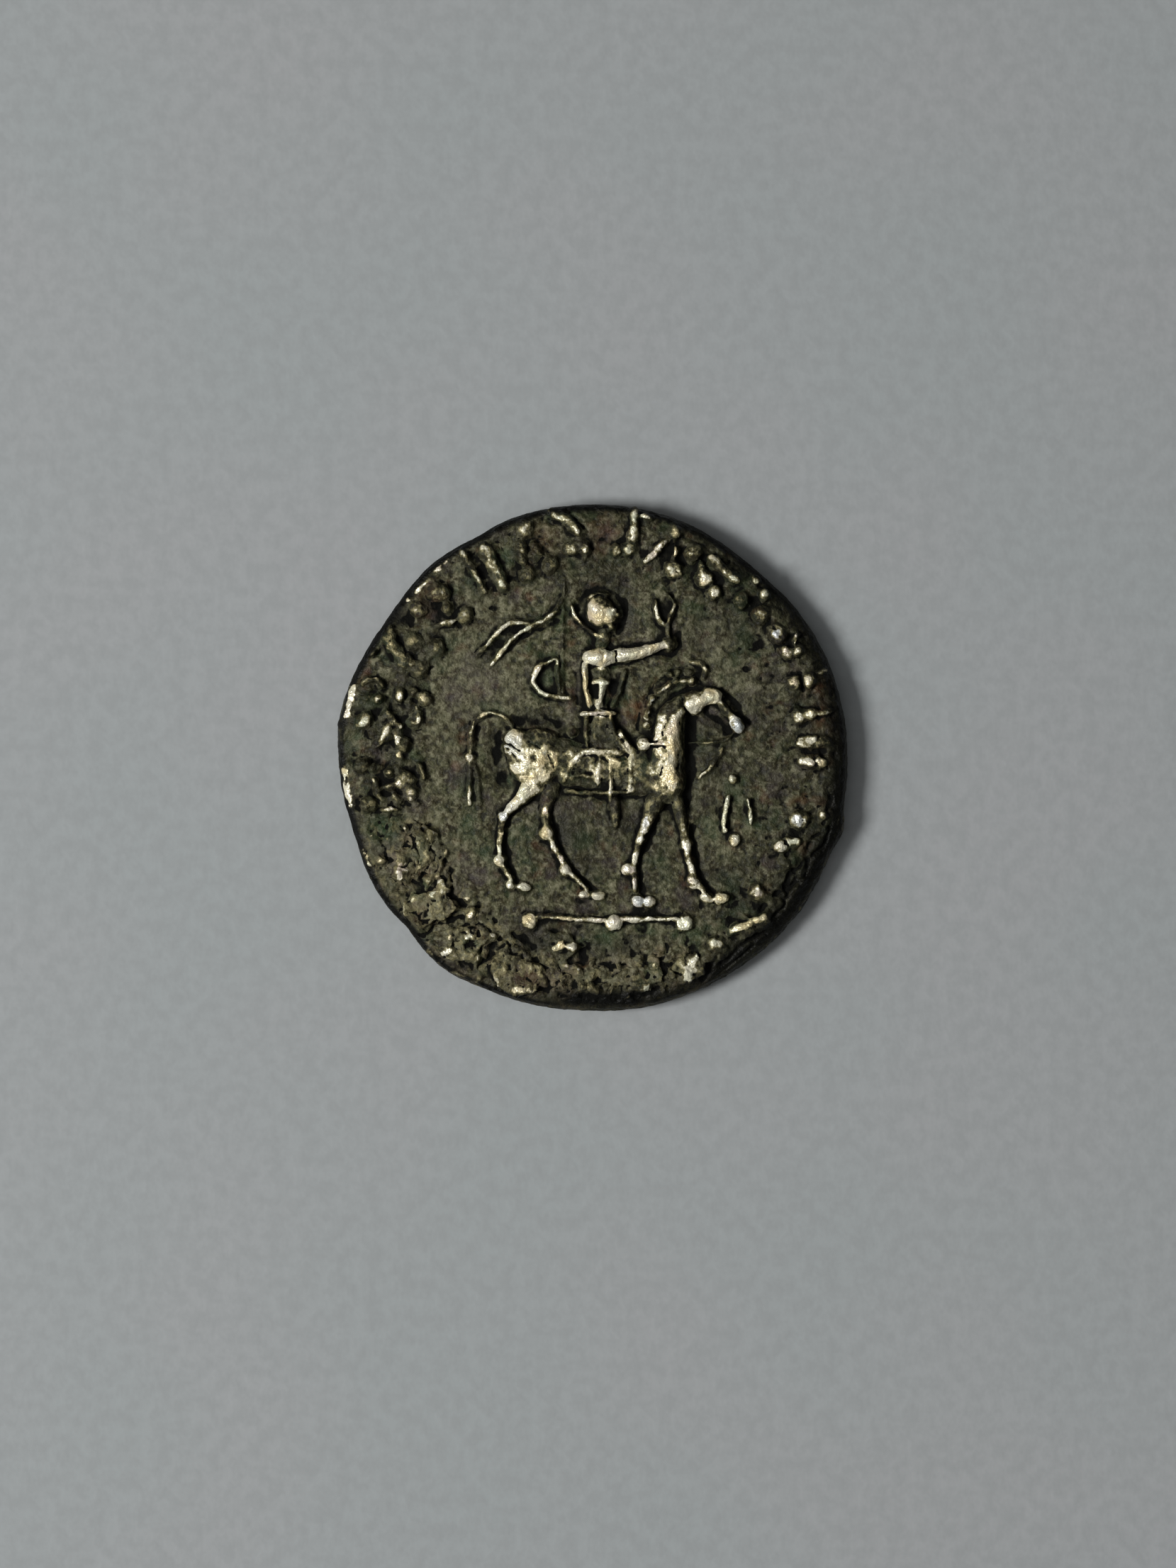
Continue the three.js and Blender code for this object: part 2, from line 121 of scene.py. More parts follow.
def makeFlan():
    section = flan["section"]
    bpy.ops.mesh.primitive_circle_add(vertices=flan["sides"], radius=section[0][0],
                                      fill_type="TRIFAN", location=(0, 0, section[0][1]))
    coin = bpy.context.object
    coin.name = "struckCoin"
    bpy.ops.object.transform_apply(location=True)
    enter("EDIT")
    for (radius, level), (nextRadius, nextLevel) in zip(section, section[1:]):
        extrudeUp(nextLevel - level, nextRadius / radius, (0, 0, nextLevel))
    faceOutwards()
    enter("OBJECT")
    place = readPlace(coin.data)  # the outline leaves the circle
    radius, angle = polarOf(place)
    reach = smoothStep(flan["lobesFrom"], flan["radius"], radius)
    grow = 1 + lobeSum(flan["lobes"], angle) * reach / np.maximum(radius, 1)
    upper = place[:, 2] > flan["widest"] + 0.01
    place[:, 2] -= np.where(upper, slumpAt(radius, angle), 0)
    place[:, :2] *= grow[:, None]
    writePlace(coin.data, place)
    return coin


def readPlace(mesh):
    place = np.empty(len(mesh.vertices) * 3, np.float32)
    mesh.vertices.foreach_get("co", place)
    return place.reshape(-1, 3).astype(float)


def writePlace(mesh, place):
    mesh.vertices.foreach_set("co", place.astype(np.float32).ravel())
    mesh.update()


# Relief: domes copied from one sphere, and bands bevelled along paths
def makeDomeMaster():
    bpy.ops.mesh.primitive_uv_sphere_add(segments=20, ring_count=12, radius=1)
    return bpy.context.object


def addDome(x, y, along, across, height, turn=0, level=None):
    part = domeMaster.copy()
    part.data = domeMaster.data.copy()
    bpy.context.collection.objects.link(part)
    part.location = (x, y, groundAt(x, y) if level is None else level)
    part.rotation_euler = (0, 0, math.radians(turn))
    part.scale = (along, across, height)
    parts.append(part)


def addBead(x, y, radius, height=0.24):
    addDome(x, y, radius * chance.uniform(0.93, 1.07), radius * chance.uniform(0.93, 1.07),
            height, chance.uniform(0, 180))


def addBand(stations, level=None, wobble=0.0):
    # stations are x, y, half width and height, and the tips are rounded
    tips = []
    for end, beside in ((stations[0], stations[1]), (stations[-1], stations[-2])):
        away = Vector((end[0] - beside[0], end[1] - beside[1])).normalized() * end[2] * 0.7
        tips.append((end[0] + away.x, end[1] + away.y, end[2] * 0.4, end[3] * 0.5))
    line = [tips[0], *stations, tips[1]]
    squat = max(station[3] for station in stations) / max(station[2] for station in stations)
    bpy.ops.curve.primitive_nurbs_path_add()
    part = bpy.context.object
    path = part.data
    path.splines.clear()
    spline = path.splines.new("NURBS")
    spline.points.add(len(line) - 1)
    for point, (x, y, half, height) in zip(spline.points, line):
        lift = (groundAt(x, y) if level is None else level) + height - half * squat
        drift = [chance.uniform(-wobble, wobble) for _ in range(3)]
        point.co = (x + drift[0], y + drift[1], lift / squat, 1)
        point.radius = half * (1 + 3 * drift[2])
    spline.order_u = 3
    spline.use_endpoint_u = True
    spline.resolution_u = 6
    path.bevel_depth = 1
    path.bevel_resolution = 3
    path.use_fill_caps = True
    part.scale = (1, 1, squat)
    parts.append(part)


def addLine(points, half, height, level=None, wobble=0.012):
    addBand([(x, y, half, height) for x, y in points], level, wobble)


def addFigure(figure, level=None):
    for dome in figure["domes"]:
        addDome(*dome, level=level)
    for band in figure["bands"]:
        addBand(band, level)
    for points, half, height in figure["lines"]:
        addLine(points, half, height, level)


def arcPoints(middle, radius, start, end, steps):
    points = []
    for i in range(steps + 1):
        x, y = polar(start + (end - start) * i / steps, radius)
        points.append((middle[0] + x, middle[1] + y))
    return points


# Horse
horse = {
    "domes": [  # x, y, half length, half breadth, height, turn
        (-1.74, 0.02, 0.9, 0.94, 0.42, 0),  # rump
        (-2.32, 0.42, 0.5, 0.56, 0.36, 0),
        (2.25, -0.7, 0.56, 0.7, 0.38, 0),  # chest
        (3.04, 1.66, 0.34, 0.36, 0.36, 0),  # cheek
        (3.66, 1.9, 0.3, 0.26, 0.4, 20),  # forehead
        (4.38, 1.02, 0.32, 0.24, 0.36, -58),  # muzzle
        (1.55, 0.44, 0.26, 0.22, 0.4, 0),  # knot at the shoulder
        (-0.62, 0.79, 0.17, 0.16, 0.2, 0),
        (3.5, 1.98, 0.1, 0.07, 0.46, 20),  # eye
    ],
    "bands": [
        [(-1.2, -0.02, 0.84, 0.3), (-0.3, -0.2, 0.72, 0.22), (0.7, -0.34, 0.74, 0.22),
         (1.7, -0.44, 0.84, 0.28)],  # barrel
        [(2.2, -0.5, 0.6, 0.34), (2.26, 0.3, 0.52, 0.38), (2.3, 1.05, 0.44, 0.36),
         (2.56, 1.6, 0.32, 0.33)],  # neck
        [(2.28, -1.0, 0.34, 0.38), (2.34, 0.0, 0.36, 0.44), (2.36, 0.8, 0.32, 0.45),
         (2.42, 1.3, 0.24, 0.42), (2.74, 1.66, 0.18, 0.36)],  # crest of the neck
        [(3.0, 1.68, 0.3, 0.36), (3.4, 1.84, 0.28, 0.38), (3.66, 1.94, 0.25, 0.36)],  # head
        [(3.84, 1.72, 0.12, 0.22), (4.12, 1.4, 0.13, 0.24), (4.34, 1.1, 0.16, 0.26)],  # nose
        [(2.92, 2.94, 0.07, 0.14), (3.2, 2.95, 0.1, 0.18), (3.44, 2.76, 0.1, 0.18),
         (3.36, 2.44, 0.08, 0.16)],  # ear
        [(1.5, 0.44, 0.1, 0.38), (1.9, 0.46, 0.1, 0.42), (2.3, 0.4, 0.09, 0.44)],  # collar
        [(1.96, 1.15, 0.1, 0.24), (2.2, 1.6, 0.1, 0.24), (2.68, 1.86, 0.09, 0.24),
         (3.1, 2.02, 0.08, 0.24)],  # roots of the mane
    ],
    "lines": [  # points, half width, height
        ([(-2.45, 0.85), (-2.62, 1.22), (-3.1, 1.44), (-3.6, 1.28), (-3.77, 0.7), (-3.78, -0.2),
          (-3.8, -1.42)], 0.085, 0.14),  # tail
        ([(-3.72, 0.0), (-3.5, -0.55), (-3.46, -1.45)], 0.07, 0.11),
        ([(2.95, 0.48), (3.95, 0.46), (4.25, 0.78)], 0.06, 0.13),  # reins
        ([(3.95, 0.3), (3.75, -0.05), (3.2, -0.6)], 0.07, 0.15),
    ],
    "tailRing": (-3.78, 0.02, 0.17),
    # rows of tufts: radius, first and last angle, how many
    "mane": {"middle": (2.95, 1.0), "rows": [(1.4, 182, 88, 11), (1.72, 112, 90, 3)],
             "half": 0.1, "height": 0.2, "stray": 0.05},
    "jointHeight": 0.25,
    "hoofHeight": 0.22,
}

# Each leg has its stations, its joints and its hoof
legs = [
    {"band": [(-1.7, -0.55, 0.46, 0.34), (-2.2, -1.25, 0.21, 0.28), (-2.74, -1.7, 0.11, 0.22),
              (-2.9, -2.5, 0.1, 0.18), (-2.84, -3.12, 0.1, 0.18), (-2.5, -3.75, 0.09, 0.17)],
     "joints": [(-2.77, -1.76, 0.18), (-2.87, -3.1, 0.21)],
     "hoof": [(-2.56, -3.84, 0.17, 0.16), (-2.13, -3.92, 0.27, 0.19)]},
    {"band": [(-1.25, -0.8, 0.3, 0.22), (-1.5, -1.6, 0.15, 0.2), (-1.4, -2.3, 0.13, 0.18),
              (-0.8, -3.4, 0.1, 0.17), (-0.2, -4.0, 0.08, 0.16)],
     "joints": [(-1.43, -2.27, 0.24), (-0.86, -3.38, 0.2)],
     "hoof": [(-0.3, -4.17, 0.2, 0.13), (0.14, -4.19, 0.26, 0.15)]},
    {"band": [(2.0, -1.1, 0.36, 0.32), (1.68, -1.8, 0.18, 0.28), (1.4, -2.5, 0.13, 0.24),
              (1.22, -3.1, 0.1, 0.2), (1.28, -4.0, 0.09, 0.17)],
     "joints": [(1.46, -2.42, 0.17), (1.04, -3.4, 0.22)],
     "hoof": [(1.34, -4.34, 0.24, 0.2), (1.72, -4.36, 0.24, 0.2)]},
    {"band": [(2.5, -1.1, 0.26, 0.28), (2.72, -2.1, 0.13, 0.22), (2.84, -2.75, 0.13, 0.22),
              (3.05, -3.65, 0.13, 0.2), (3.42, -4.1, 0.09, 0.17)],
     "joints": [(2.8, -2.62, 0.2), (3.04, -3.78, 0.24)],
     "hoof": [(3.44, -4.22, 0.24, 0.17), (3.9, -4.24, 0.27, 0.19)]},
]


def makeHorse():
    addFigure(horse)
    addBead(*horse["tailRing"], 0.2)
    mane = horse["mane"]
    for radius, start, end, tufts in mane["rows"]:
        for x, y in arcPoints(mane["middle"], radius, start, end, tufts - 1):
            addDome(x + chance.uniform(-mane["stray"], mane["stray"]),
                    y + chance.uniform(-mane["stray"], mane["stray"]),
                    mane["half"] * chance.uniform(0.9, 1.5), mane["half"], mane["height"],
                    chance.uniform(0, 180))
    for leg in legs:
        addBand(leg["band"])
        for x, y, size in leg["joints"]:
            addBead(x, y, size, horse["jointHeight"])
        for x, y, along, across in leg["hoof"]:
            addDome(x, y, along, across, horse["hoofHeight"], -6)


# Rider, with the rod, the ties behind the head and the bow
rider = {
    "domes": [
        (0.2, 4.5, 0.44, 0.5, 0.4, 0),  # skull
        (0.42, 4.36, 0.28, 0.36, 0.36, 0),  # face
        (0.72, 4.4, 0.1, 0.09, 0.26, -30),  # nose
        (0.6, 4.54, 0.1, 0.06, 0.36, 0),  # brow
        (0.64, 4.2, 0.09, 0.05, 0.27, 0),  # lips
        (0.54, 4.02, 0.13, 0.1, 0.28, 0),  # chin
        (0.05, 4.42, 0.09, 0.12, 0.44, 0),  # ear
        (2.3, 3.52, 0.24, 0.22, 0.26, 0),  # hand
    ],
    "bands": [
        [(0.3, 4.0, 0.18, 0.17), (0.24, 3.4, 0.24, 0.18)],  # neck
        [(0.14, 2.9, 0.42, 0.15), (0.14, 2.1, 0.38, 0.13), (0.14, 1.5, 0.36, 0.15)],  # body
        [(-0.12, 3.1, 0.25, 0.38), (0.2, 3.08, 0.3, 0.4), (0.52, 3.1, 0.24, 0.38)],  # shoulders
        [(0.5, 3.12, 0.28, 0.36), (1.3, 3.2, 0.21, 0.37), (2.2, 3.5, 0.13, 0.3)],  # arm
        [(0.2, 1.15, 0.34, 0.24), (0.34, 0.6, 0.48, 0.26), (0.45, 0.15, 0.7, 0.26)],  # skirt
        [(0.62, -1.1, 0.13, 0.22), (0.66, -1.7, 0.16, 0.22), (0.68, -2.1, 0.07, 0.14)],  # foot
    ],
    "lines": [
        ([(-0.66, 4.7), (-0.56, 4.3), (-0.16, 3.9), (0.26, 3.7)], 0.07, 0.16),  # hood
        ([(-0.2, 4.86), (0.1, 5.06), (0.46, 5.0)], 0.05, 0.3),
        ([(-0.36, 1.35), (0.12, 1.43), (0.62, 1.38)], 0.09, 0.38),  # belt
        ([(-0.24, 2.85), (-0.24, 2.3), (-0.12, 1.6)], 0.09, 0.34),  # coat edges
        ([(0.24, 2.3), (0.24, 2.0), (0.14, 1.55)], 0.13, 0.36),
        ([(-0.02, 2.3), (0.2, 2.34), (0.44, 2.3)], 0.09, 0.34),
        ([(0.96, 2.7), (0.84, 2.2), (0.6, 1.6)], 0.08, 0.16),
        ([(-0.22, 1.2), (-0.2, 0.4)], 0.09, 0.3),
        ([(0.05, 1.2), (0.05, 0.5)], 0.09, 0.3),
        ([(0.5, 1.24), (0.64, 0.7), (1.08, 0.15)], 0.11, 0.34),
        ([(0.8, 0.85), (1.0, 0.5), (1.2, 0.2)], 0.08, 0.3),
        ([(-0.3, 0.2), (-0.5, 0.06), (-0.94, -0.7)], 0.13, 0.33),  # saddle cloth
        ([(-0.34, 0.2), (0.3, 0.22), (0.9, 0.2)], 0.13, 0.33),
        ([(0.16, 0.1), (0.12, -0.75)], 0.13, 0.32),
        ([(0.52, 0.0), (0.52, -1.5)], 0.1, 0.3),
        ([(0.34, 0.02), (0.8, -0.12), (1.1, -0.1)], 0.12, 0.31),
        ([(1.14, 0.1), (1.14, -0.95)], 0.13, 0.34),
        ([(-0.8, -1.0), (0.2, -1.04), (1.16, -1.02)], 0.07, 0.24),
        ([(-0.78, -0.6), (-0.4, -0.5), (0.0, -0.56)], 0.09, 0.3),
        ([(2.16, 4.1), (1.93, 4.3), (1.9, 4.84)], 0.08, 0.2),  # rod and its loop
        ([(2.26, 5.0), (2.52, 4.76), (2.22, 4.1), (2.28, 3.6)], 0.065, 0.17),
        ([(-0.97, 4.84), (-1.2, 4.42), (-1.75, 4.12), (-2.3, 3.84), (-2.68, 3.44),
          (-3.12, 2.88)], 0.08, 0.18),  # ties
        ([(-1.95, 4.14), (-2.56, 4.2), (-2.92, 3.87), (-3.21, 3.5), (-3.6, 3.15)], 0.075, 0.17),
        ([(-0.92, 5.5), (-0.93, 3.2), (-0.9, 1.95)], 0.05, 0.09),  # bow
        ([(-1.12, 3.06), (-1.04, 1.98)], 0.07, 0.17),
        ([(-1.16, 3.06), (-1.62, 2.84), (-1.88, 2.5), (-1.74, 2.1), (-1.36, 1.9),
          (-0.66, 1.84)], 0.09, 0.19),
    ],
}

# Ground line, and a small mark of bars and beads before the horse
groundLine = {"beads": [(-1.95, -4.95, 0.28), (0.6, -5.02, 0.27), (2.8, -5.0, 0.29)],
              "half": 0.09, "height": 0.2}
fieldMark = {"beads": [(4.25, -0.62, 0.16), (4.31, -2.48, 0.19), (4.02, -2.2, 0.1)],
             "bars": [[(4.13, -1.15), (4.04, -1.6), (3.98, -2.05)], [(4.72, -1.3), (4.82, -1.95)]],
             "half": 0.1, "height": 0.21}


def makeField():
    beads = groundLine["beads"]
    for x, y, radius in beads + fieldMark["beads"]:
        addBead(x, y, radius)
    for start, end in zip(beads, beads[1:]):
        middle = ((start[0] + end[0]) / 2, (start[1] + end[1]) / 2 + 0.1)
        addLine([(start[0] + 0.2, start[1] + 0.12), middle, (end[0] - 0.2, end[1] + 0.1)],
                groundLine["half"], groundLine["height"])
    for bar in fieldMark["bars"]:
        addLine(bar, fieldMark["half"], fieldMark["height"])


# Border of worn strokes and beads
border = {
    # x, y, half size
    "beads": [
        (4.95, -4.09, 0.27), (3.72, -5.64, 0.28), (6.28, -1.89, 0.32), (7.0, -1.7, 0.17),
        (6.26, 1.3, 0.28), (6.62, 1.36, 0.22), (6.14, 2.34, 0.28), (6.54, 2.4, 0.28),
        (5.9, 3.24, 0.24), (6.22, 3.3, 0.2), (5.59, 3.82, 0.33), (5.2, 5.0, 0.22),
        (4.96, 5.42, 0.16), (5.08, 4.36, 0.29), (4.5, 4.83, 0.29), (3.67, 5.06, 0.25),
        (3.38, 5.5, 0.29), (3.04, 6.24, 0.3), (2.44, 5.78, 0.34), (2.5, 6.9, 0.26),
        (1.06, 6.42, 0.25), (0.72, 6.38, 0.22), (-0.3, 6.4, 0.25), (-0.7, 6.38, 0.25),
        (-1.31, 5.93, 0.28), (-2.1, 7.0, 0.32), (-2.06, 5.6, 0.24), (-3.91, 4.37, 0.26),
        (-4.72, 5.04, 0.33), (-4.5, 4.58, 0.2), (-5.36, 4.56, 0.26), (-4.8, 3.4, 0.3),
        (-5.28, 2.74, 0.3), (-5.5, 3.56, 0.34), (-5.18, 1.84, 0.3), (-5.9, 1.9, 0.22),
        (-5.5, 2.02, 0.14), (-6.6, 1.78, 0.18), (-5.42, 1.17, 0.28), (-6.98, 1.2, 0.25),
        (-6.3, 0.72, 0.22), (-5.84, 0.44, 0.28), (-7.08, -0.2, 0.27), (-6.24, -0.43, 0.14),
        (-5.74, -0.66, 0.32), (-5.58, -1.06, 0.24), (-6.9, -1.4, 0.26), (-6.0, -1.2, 0.2),
        (-4.97, -2.36, 0.24), (-5.96, -3.52, 0.24), (-6.5, -3.1, 0.16), (-3.72, -4.72, 0.24),
        (-0.98, -5.7, 0.2), (-0.66, -5.76, 0.16),
    ],
    "strokes": [  # points, half width
        ([(6.36, -0.06), (7.0, -0.12)], 0.26), ([(6.34, 0.5), (7.1, 0.54)], 0.26),
        ([(6.9, 1.36), (7.24, 1.46)], 0.14), ([(6.9, 2.6), (7.14, 2.72)], 0.12),
        ([(6.14, 3.5), (6.18, 3.8)], 0.1), ([(5.66, -2.7), (6.14, -2.56)], 0.24),
        ([(4.2, -5.26), (4.7, -5.06), (5.2, -4.82)], 0.17),
        ([(3.6, 6.16), (3.9, 5.76), (4.38, 5.4)], 0.19),
        ([(3.26, 5.96), (3.3, 5.7)], 0.1), ([(1.56, 6.04), (1.86, 6.3), (2.2, 6.6)], 0.16),
        ([(1.16, 6.66), (1.2, 7.1), (1.24, 7.5)], 0.2), ([(1.5, 7.42), (1.7, 7.36)], 0.13),
        ([(2.5, 6.1), (2.52, 6.4)], 0.1), ([(-1.3, 7.46), (-0.8, 7.3), (-0.5, 6.96)], 0.17),
        ([(-2.22, 6.56), (-2.16, 6.0)], 0.17), ([(-1.86, 6.5), (-1.6, 6.22)], 0.11),
        ([(-4.0, 6.3), (-3.7, 5.8), (-3.3, 5.1)], 0.14),
        ([(-3.34, 6.44), (-3.04, 5.9), (-2.74, 5.26)], 0.24),
        ([(-4.8, 4.14), (-4.22, 4.2)], 0.13),
        ([(-6.2, 4.0), (-6.26, 3.6), (-5.9, 3.14), (-5.56, 2.9)], 0.22),
        ([(-6.84, 3.12), (-6.66, 3.3)], 0.09),
        ([(-7.06, 2.3), (-6.9, 2.46), (-6.56, 2.4), (-6.44, 2.2)], 0.1),
        ([(-6.5, -1.56), (-6.0, -1.54)], 0.09), ([(-6.6, 0.4), (-6.1, 1.2)], 0.12),
        ([(-5.9, 0.98), (-6.3, 1.4)], 0.13), ([(-6.5, -0.9), (-6.0, -0.8)], 0.13),
        ([(-5.3, -0.2), (-5.2, -0.6)], 0.1), ([(-6.7, -0.7), (-6.5, -1.2)], 0.12),
    ],
    "height": 0.22,
    # how bright the signs are worn, partly as painted glints, by angle
    "wornAt": [0, 30, 60, 90, 105, 130, 210, 240, 300, 330, 360],
    "wornAndGlints": [0.42, 0.4, 0.58, 0.5, 0.3, 0.32, 0.37, 0.5, 0.6, 0.55, 0.42],
}


def makeBorder():
    for x, y, radius in border["beads"]:
        addDome(x, y, radius * chance.uniform(0.95, 1.2), radius * chance.uniform(0.85, 1),
                border["height"] * chance.uniform(0.85, 1.2), chance.uniform(0, 180))
    for points, half in border["strokes"]:
        addBand([(x, y, half * chance.uniform(0.85, 1.15), border["height"]) for x, y in points],
                wobble=0.03)


# Crust: corroded plates and crumbs along the lower border
crust = {
    # outlines of the plates, and how thick they are
    "plates": [
        ([(-5.85, -4.4), (-5.5, -4.06), (-4.95, -4.1), (-4.6, -3.72), (-4.36, -3.95),
          (-4.3, -4.36), (-4.02, -4.56), (-4.34, -4.84), (-4.85, -5.04), (-5.3, -5.24),
          (-5.8, -4.9)], 0.17),
        ([(-5.1, -5.66), (-4.4, -5.16), (-3.4, -5.04), (-2.92, -5.44), (-3.4, -5.74),
          (-3.66, -6.2), (-4.42, -6.16)], 0.16),
        ([(-2.75, -5.62), (-2.5, -5.9), (-1.75, -6.3), (-1.38, -6.74), (-1.65, -7.14),
          (-2.35, -7.3), (-3.02, -6.92), (-3.2, -6.2)], 0.15),
        ([(-1.6, -5.2), (-0.7, -5.36), (-0.3, -5.8), (-0.9, -6.2), (-1.5, -6.0)], 0.08),
        ([(-5.5, -1.9), (-4.8, -2.1), (-4.5, -2.9), (-4.9, -3.6), (-5.5, -3.4),
          (-5.75, -2.6)], 0.1),
        ([(0.8, -6.5), (1.5, -6.3), (2.2, -6.45), (2.1, -6.85), (1.3, -7.0)], 0.09),
        ([(2.75, -5.85), (3.2, -6.0), (3.4, -6.6), (2.9, -6.9), (2.5, -6.4)], 0.14),
    ],
    # ridges that curl over the plates: points, half width, height
    "ridges": [
        ([(-5.05, -3.7), (-4.66, -3.3), (-4.5, -2.8)], 0.07, 0.18),
        ([(-5.4, -3.4), (-5.05, -3.0), (-4.9, -2.4)], 0.07, 0.17),
        ([(-5.7, -2.9), (-5.4, -2.5), (-5.3, -2.0)], 0.06, 0.15),
        ([(-3.98, -5.66), (-3.8, -5.4), (-3.56, -5.24)], 0.08, 0.24),
        ([(-4.6, -6.0), (-4.44, -5.86), (-4.2, -5.44)], 0.07, 0.24),
        ([(-4.5, -5.4), (-4.1, -5.2), (-3.6, -5.1)], 0.06, 0.22),
        ([(-1.2, -5.8), (-0.94, -5.66), (-0.64, -5.7), (-0.6, -5.86)], 0.08, 0.2),
        ([(-2.5, -7.1), (-1.9, -7.12), (-1.5, -6.9)], 0.07, 0.2),
        ([(-2.5, -5.74), (-2.2, -5.9), (-1.8, -5.94)], 0.08, 0.1),
        ([(3.1, -6.0), (3.1, -6.4), (2.85, -6.75)], 0.09, 0.22),
    ],
    # short scores across the rim: first and last angle, radii, half width, height, how many
    "scores": {"start": -34, "end": 30, "inner": 7.16, "outer": 7.6, "half": 0.05, "height": 0.07,
               "count": 19},
    # angles, radii, how many crumbs
    "crumbs": [(193, 214, 5.3, 7.3, 26), (214, 262, 6.2, 7.3, 40), (262, 296, 6.2, 7.3, 36),
               (160, 193, 5.4, 7.2, 22), (296, 345, 6.6, 7.3, 14), (90, 160, 6.0, 7.2, 16)],
    "crumbSize": (0.08, 0.3),
    "crumbHeight": (0.04, 0.13),
    # how deep a plate is sunk, and how far its top draws in
    "sunk": 0.3,
    "taper": 0.93,
    # the decayed ground: angles at which it sets in and ends, and its inner radius by angle
    "setsIn": (186, 206),
    "ends": (290, 306),
    "innerAt": [186, 200, 215, 235, 262, 290, 306],
    "inner": [5.4, 5.2, 5.4, 5.5, 6.1, 5.9, 6.3],
}


def addPlate(outline, thickness):
    middle = np.mean(outline, axis=0)
    bottom = groundAt(*middle) - crust["sunk"]
    bpy.ops.mesh.primitive_circle_add(vertices=len(outline), radius=1, fill_type="NGON",
                                      location=(0, 0, 0))
    part = bpy.context.object
    for vertex, (x, y) in zip(part.data.vertices, outline[::-1]):
        vertex.co = (x, y, bottom)
    enter("EDIT")
    extrudeUp(crust["sunk"] + thickness, crust["taper"], (*middle, bottom))
    faceOutwards()
    enter("OBJECT")
    parts.append(part)


def makeCrust():
    for outline, thickness in crust["plates"]:
        addPlate(outline, thickness)
    for points, half, height in crust["ridges"]:
        addLine(points, half, height, wobble=0.03)
    scores = crust["scores"]
    for i in range(scores["count"]):
        angle = scores["start"] + (scores["end"] - scores["start"]) * i / (scores["count"] - 1)
        angle += chance.uniform(-1.2, 1.2)
        inner = scores["inner"] + chance.uniform(-0.1, 0.2)
        addLine([polar(angle, inner), polar(angle, scores["outer"])], scores["half"],
                scores["height"], wobble=0.02)
    for start, end, inner, outer, count in crust["crumbs"]:
        for _ in range(count):
            x, y = polar(chance.uniform(start, end), chance.uniform(inner, outer))
            size = chance.uniform(*crust["crumbSize"])
            addDome(x, y, size, size * chance.uniform(0.4, 0.9),
                    chance.uniform(*crust["crumbHeight"]), chance.uniform(0, 180))


# The hidden side, plainer: a draped figure with a staff and a shield in a ring of strokes,
# drawn as seen from below and turned over
under = {
    "domes": [(0.1, 3.75, 0.42, 0.5, 0.18, 0), (1.85, 0.9, 0.85, 0.85, 0.13, 0),
              (1.85, 0.9, 0.26, 0.26, 0.2, 0), (-0.35, -3.2, 0.26, 0.15, 0.15, 0),
              (0.6, -3.2, 0.26, 0.15, 0.15, 0)],
    "bands": [
        [(0.05, 3.0, 0.55, 0.15), (0.05, 2.2, 0.5, 0.18), (0.05, 1.4, 0.42, 0.16)],
        [(0.05, 1.1, 0.5, 0.15), (0.1, -0.8, 0.74, 0.17), (0.15, -2.8, 0.95, 0.16)],
        [(-0.45, 2.9, 0.17, 0.14), (-1.2, 2.2, 0.15, 0.13), (-1.78, 2.65, 0.12, 0.12)],
        [(0.55, 2.9, 0.17, 0.14), (1.15, 2.1, 0.15, 0.13), (1.5, 1.5, 0.13, 0.12)],
    ],
    "lines": [
        ([(-0.2, 1.0), (-0.45, -2.8)], 0.07, 0.21), ([(0.08, 1.0), (0.15, -2.9)], 0.07, 0.21),
        ([(0.35, 1.0), (0.7, -2.8)], 0.07, 0.21), ([(-1.85, 4.2), (-1.78, -3.3)], 0.08, 0.13),
        ([(-2.2, -3.7), (2.2, -3.7)], 0.08, 0.13),
    ],
    "strokes": {"count": 24, "inner": 4.85, "outer": 5.6, "half": 0.11, "height": 0.14,
                "uneven": 0.16},
}


def makeUnder():
    first = len(parts)
    addFigure(under, 0)
    strokes = under["strokes"]
    for i in range(strokes["count"]):
        angle = 360 * i / strokes["count"]
        outer = strokes["outer"] - (i % 3) * strokes["uneven"]
        addLine([polar(angle, strokes["inner"]), polar(angle, outer)], strokes["half"],
                strokes["height"], level=0)
    turnOver = Matrix.Translation((0, 0, flan["lowerField"])) @ Matrix.Rotation(math.pi, 4, "X")
    bpy.context.view_layer.update()
    for part in parts[first:]:
        part.matrix_world = turnOver @ part.matrix_world


coin = makeFlan()
domeMaster = makeDomeMaster()
makeHorse()
addFigure(rider)
makeField()
makeBorder()
makeCrust()
makeUnder()
print("relief laid out:", len(parts), "parts")


# Striking: everything becomes one skin, softened as worn metal is
strike = {"voxel": 0.04, "soften": 2, "topFaces": 150000, "underFaces": 28000,
          "splitHeight": 0.6,  # above it a face counts as the top's
          "nearRounds": 14, "wideRounds": 90,  # how far round a point its hollow is measured
          "zoneSteps": 20}  # steps of weight in a zone


def selectOnly(*things):
    bpy.ops.object.select_all(action="DESELECT")
    for thing in things:
        thing.select_set(True)
    bpy.context.view_layer.objects.active = things[0]


def applied(thing, kind, **settings):
    selectOnly(thing)
    modifier = thing.modifiers.new(kind.lower(), kind)
    for name, value in settings.items():
        setattr(modifier, name, value)
    bpy.ops.object.modifier_apply(modifier=modifier.name)


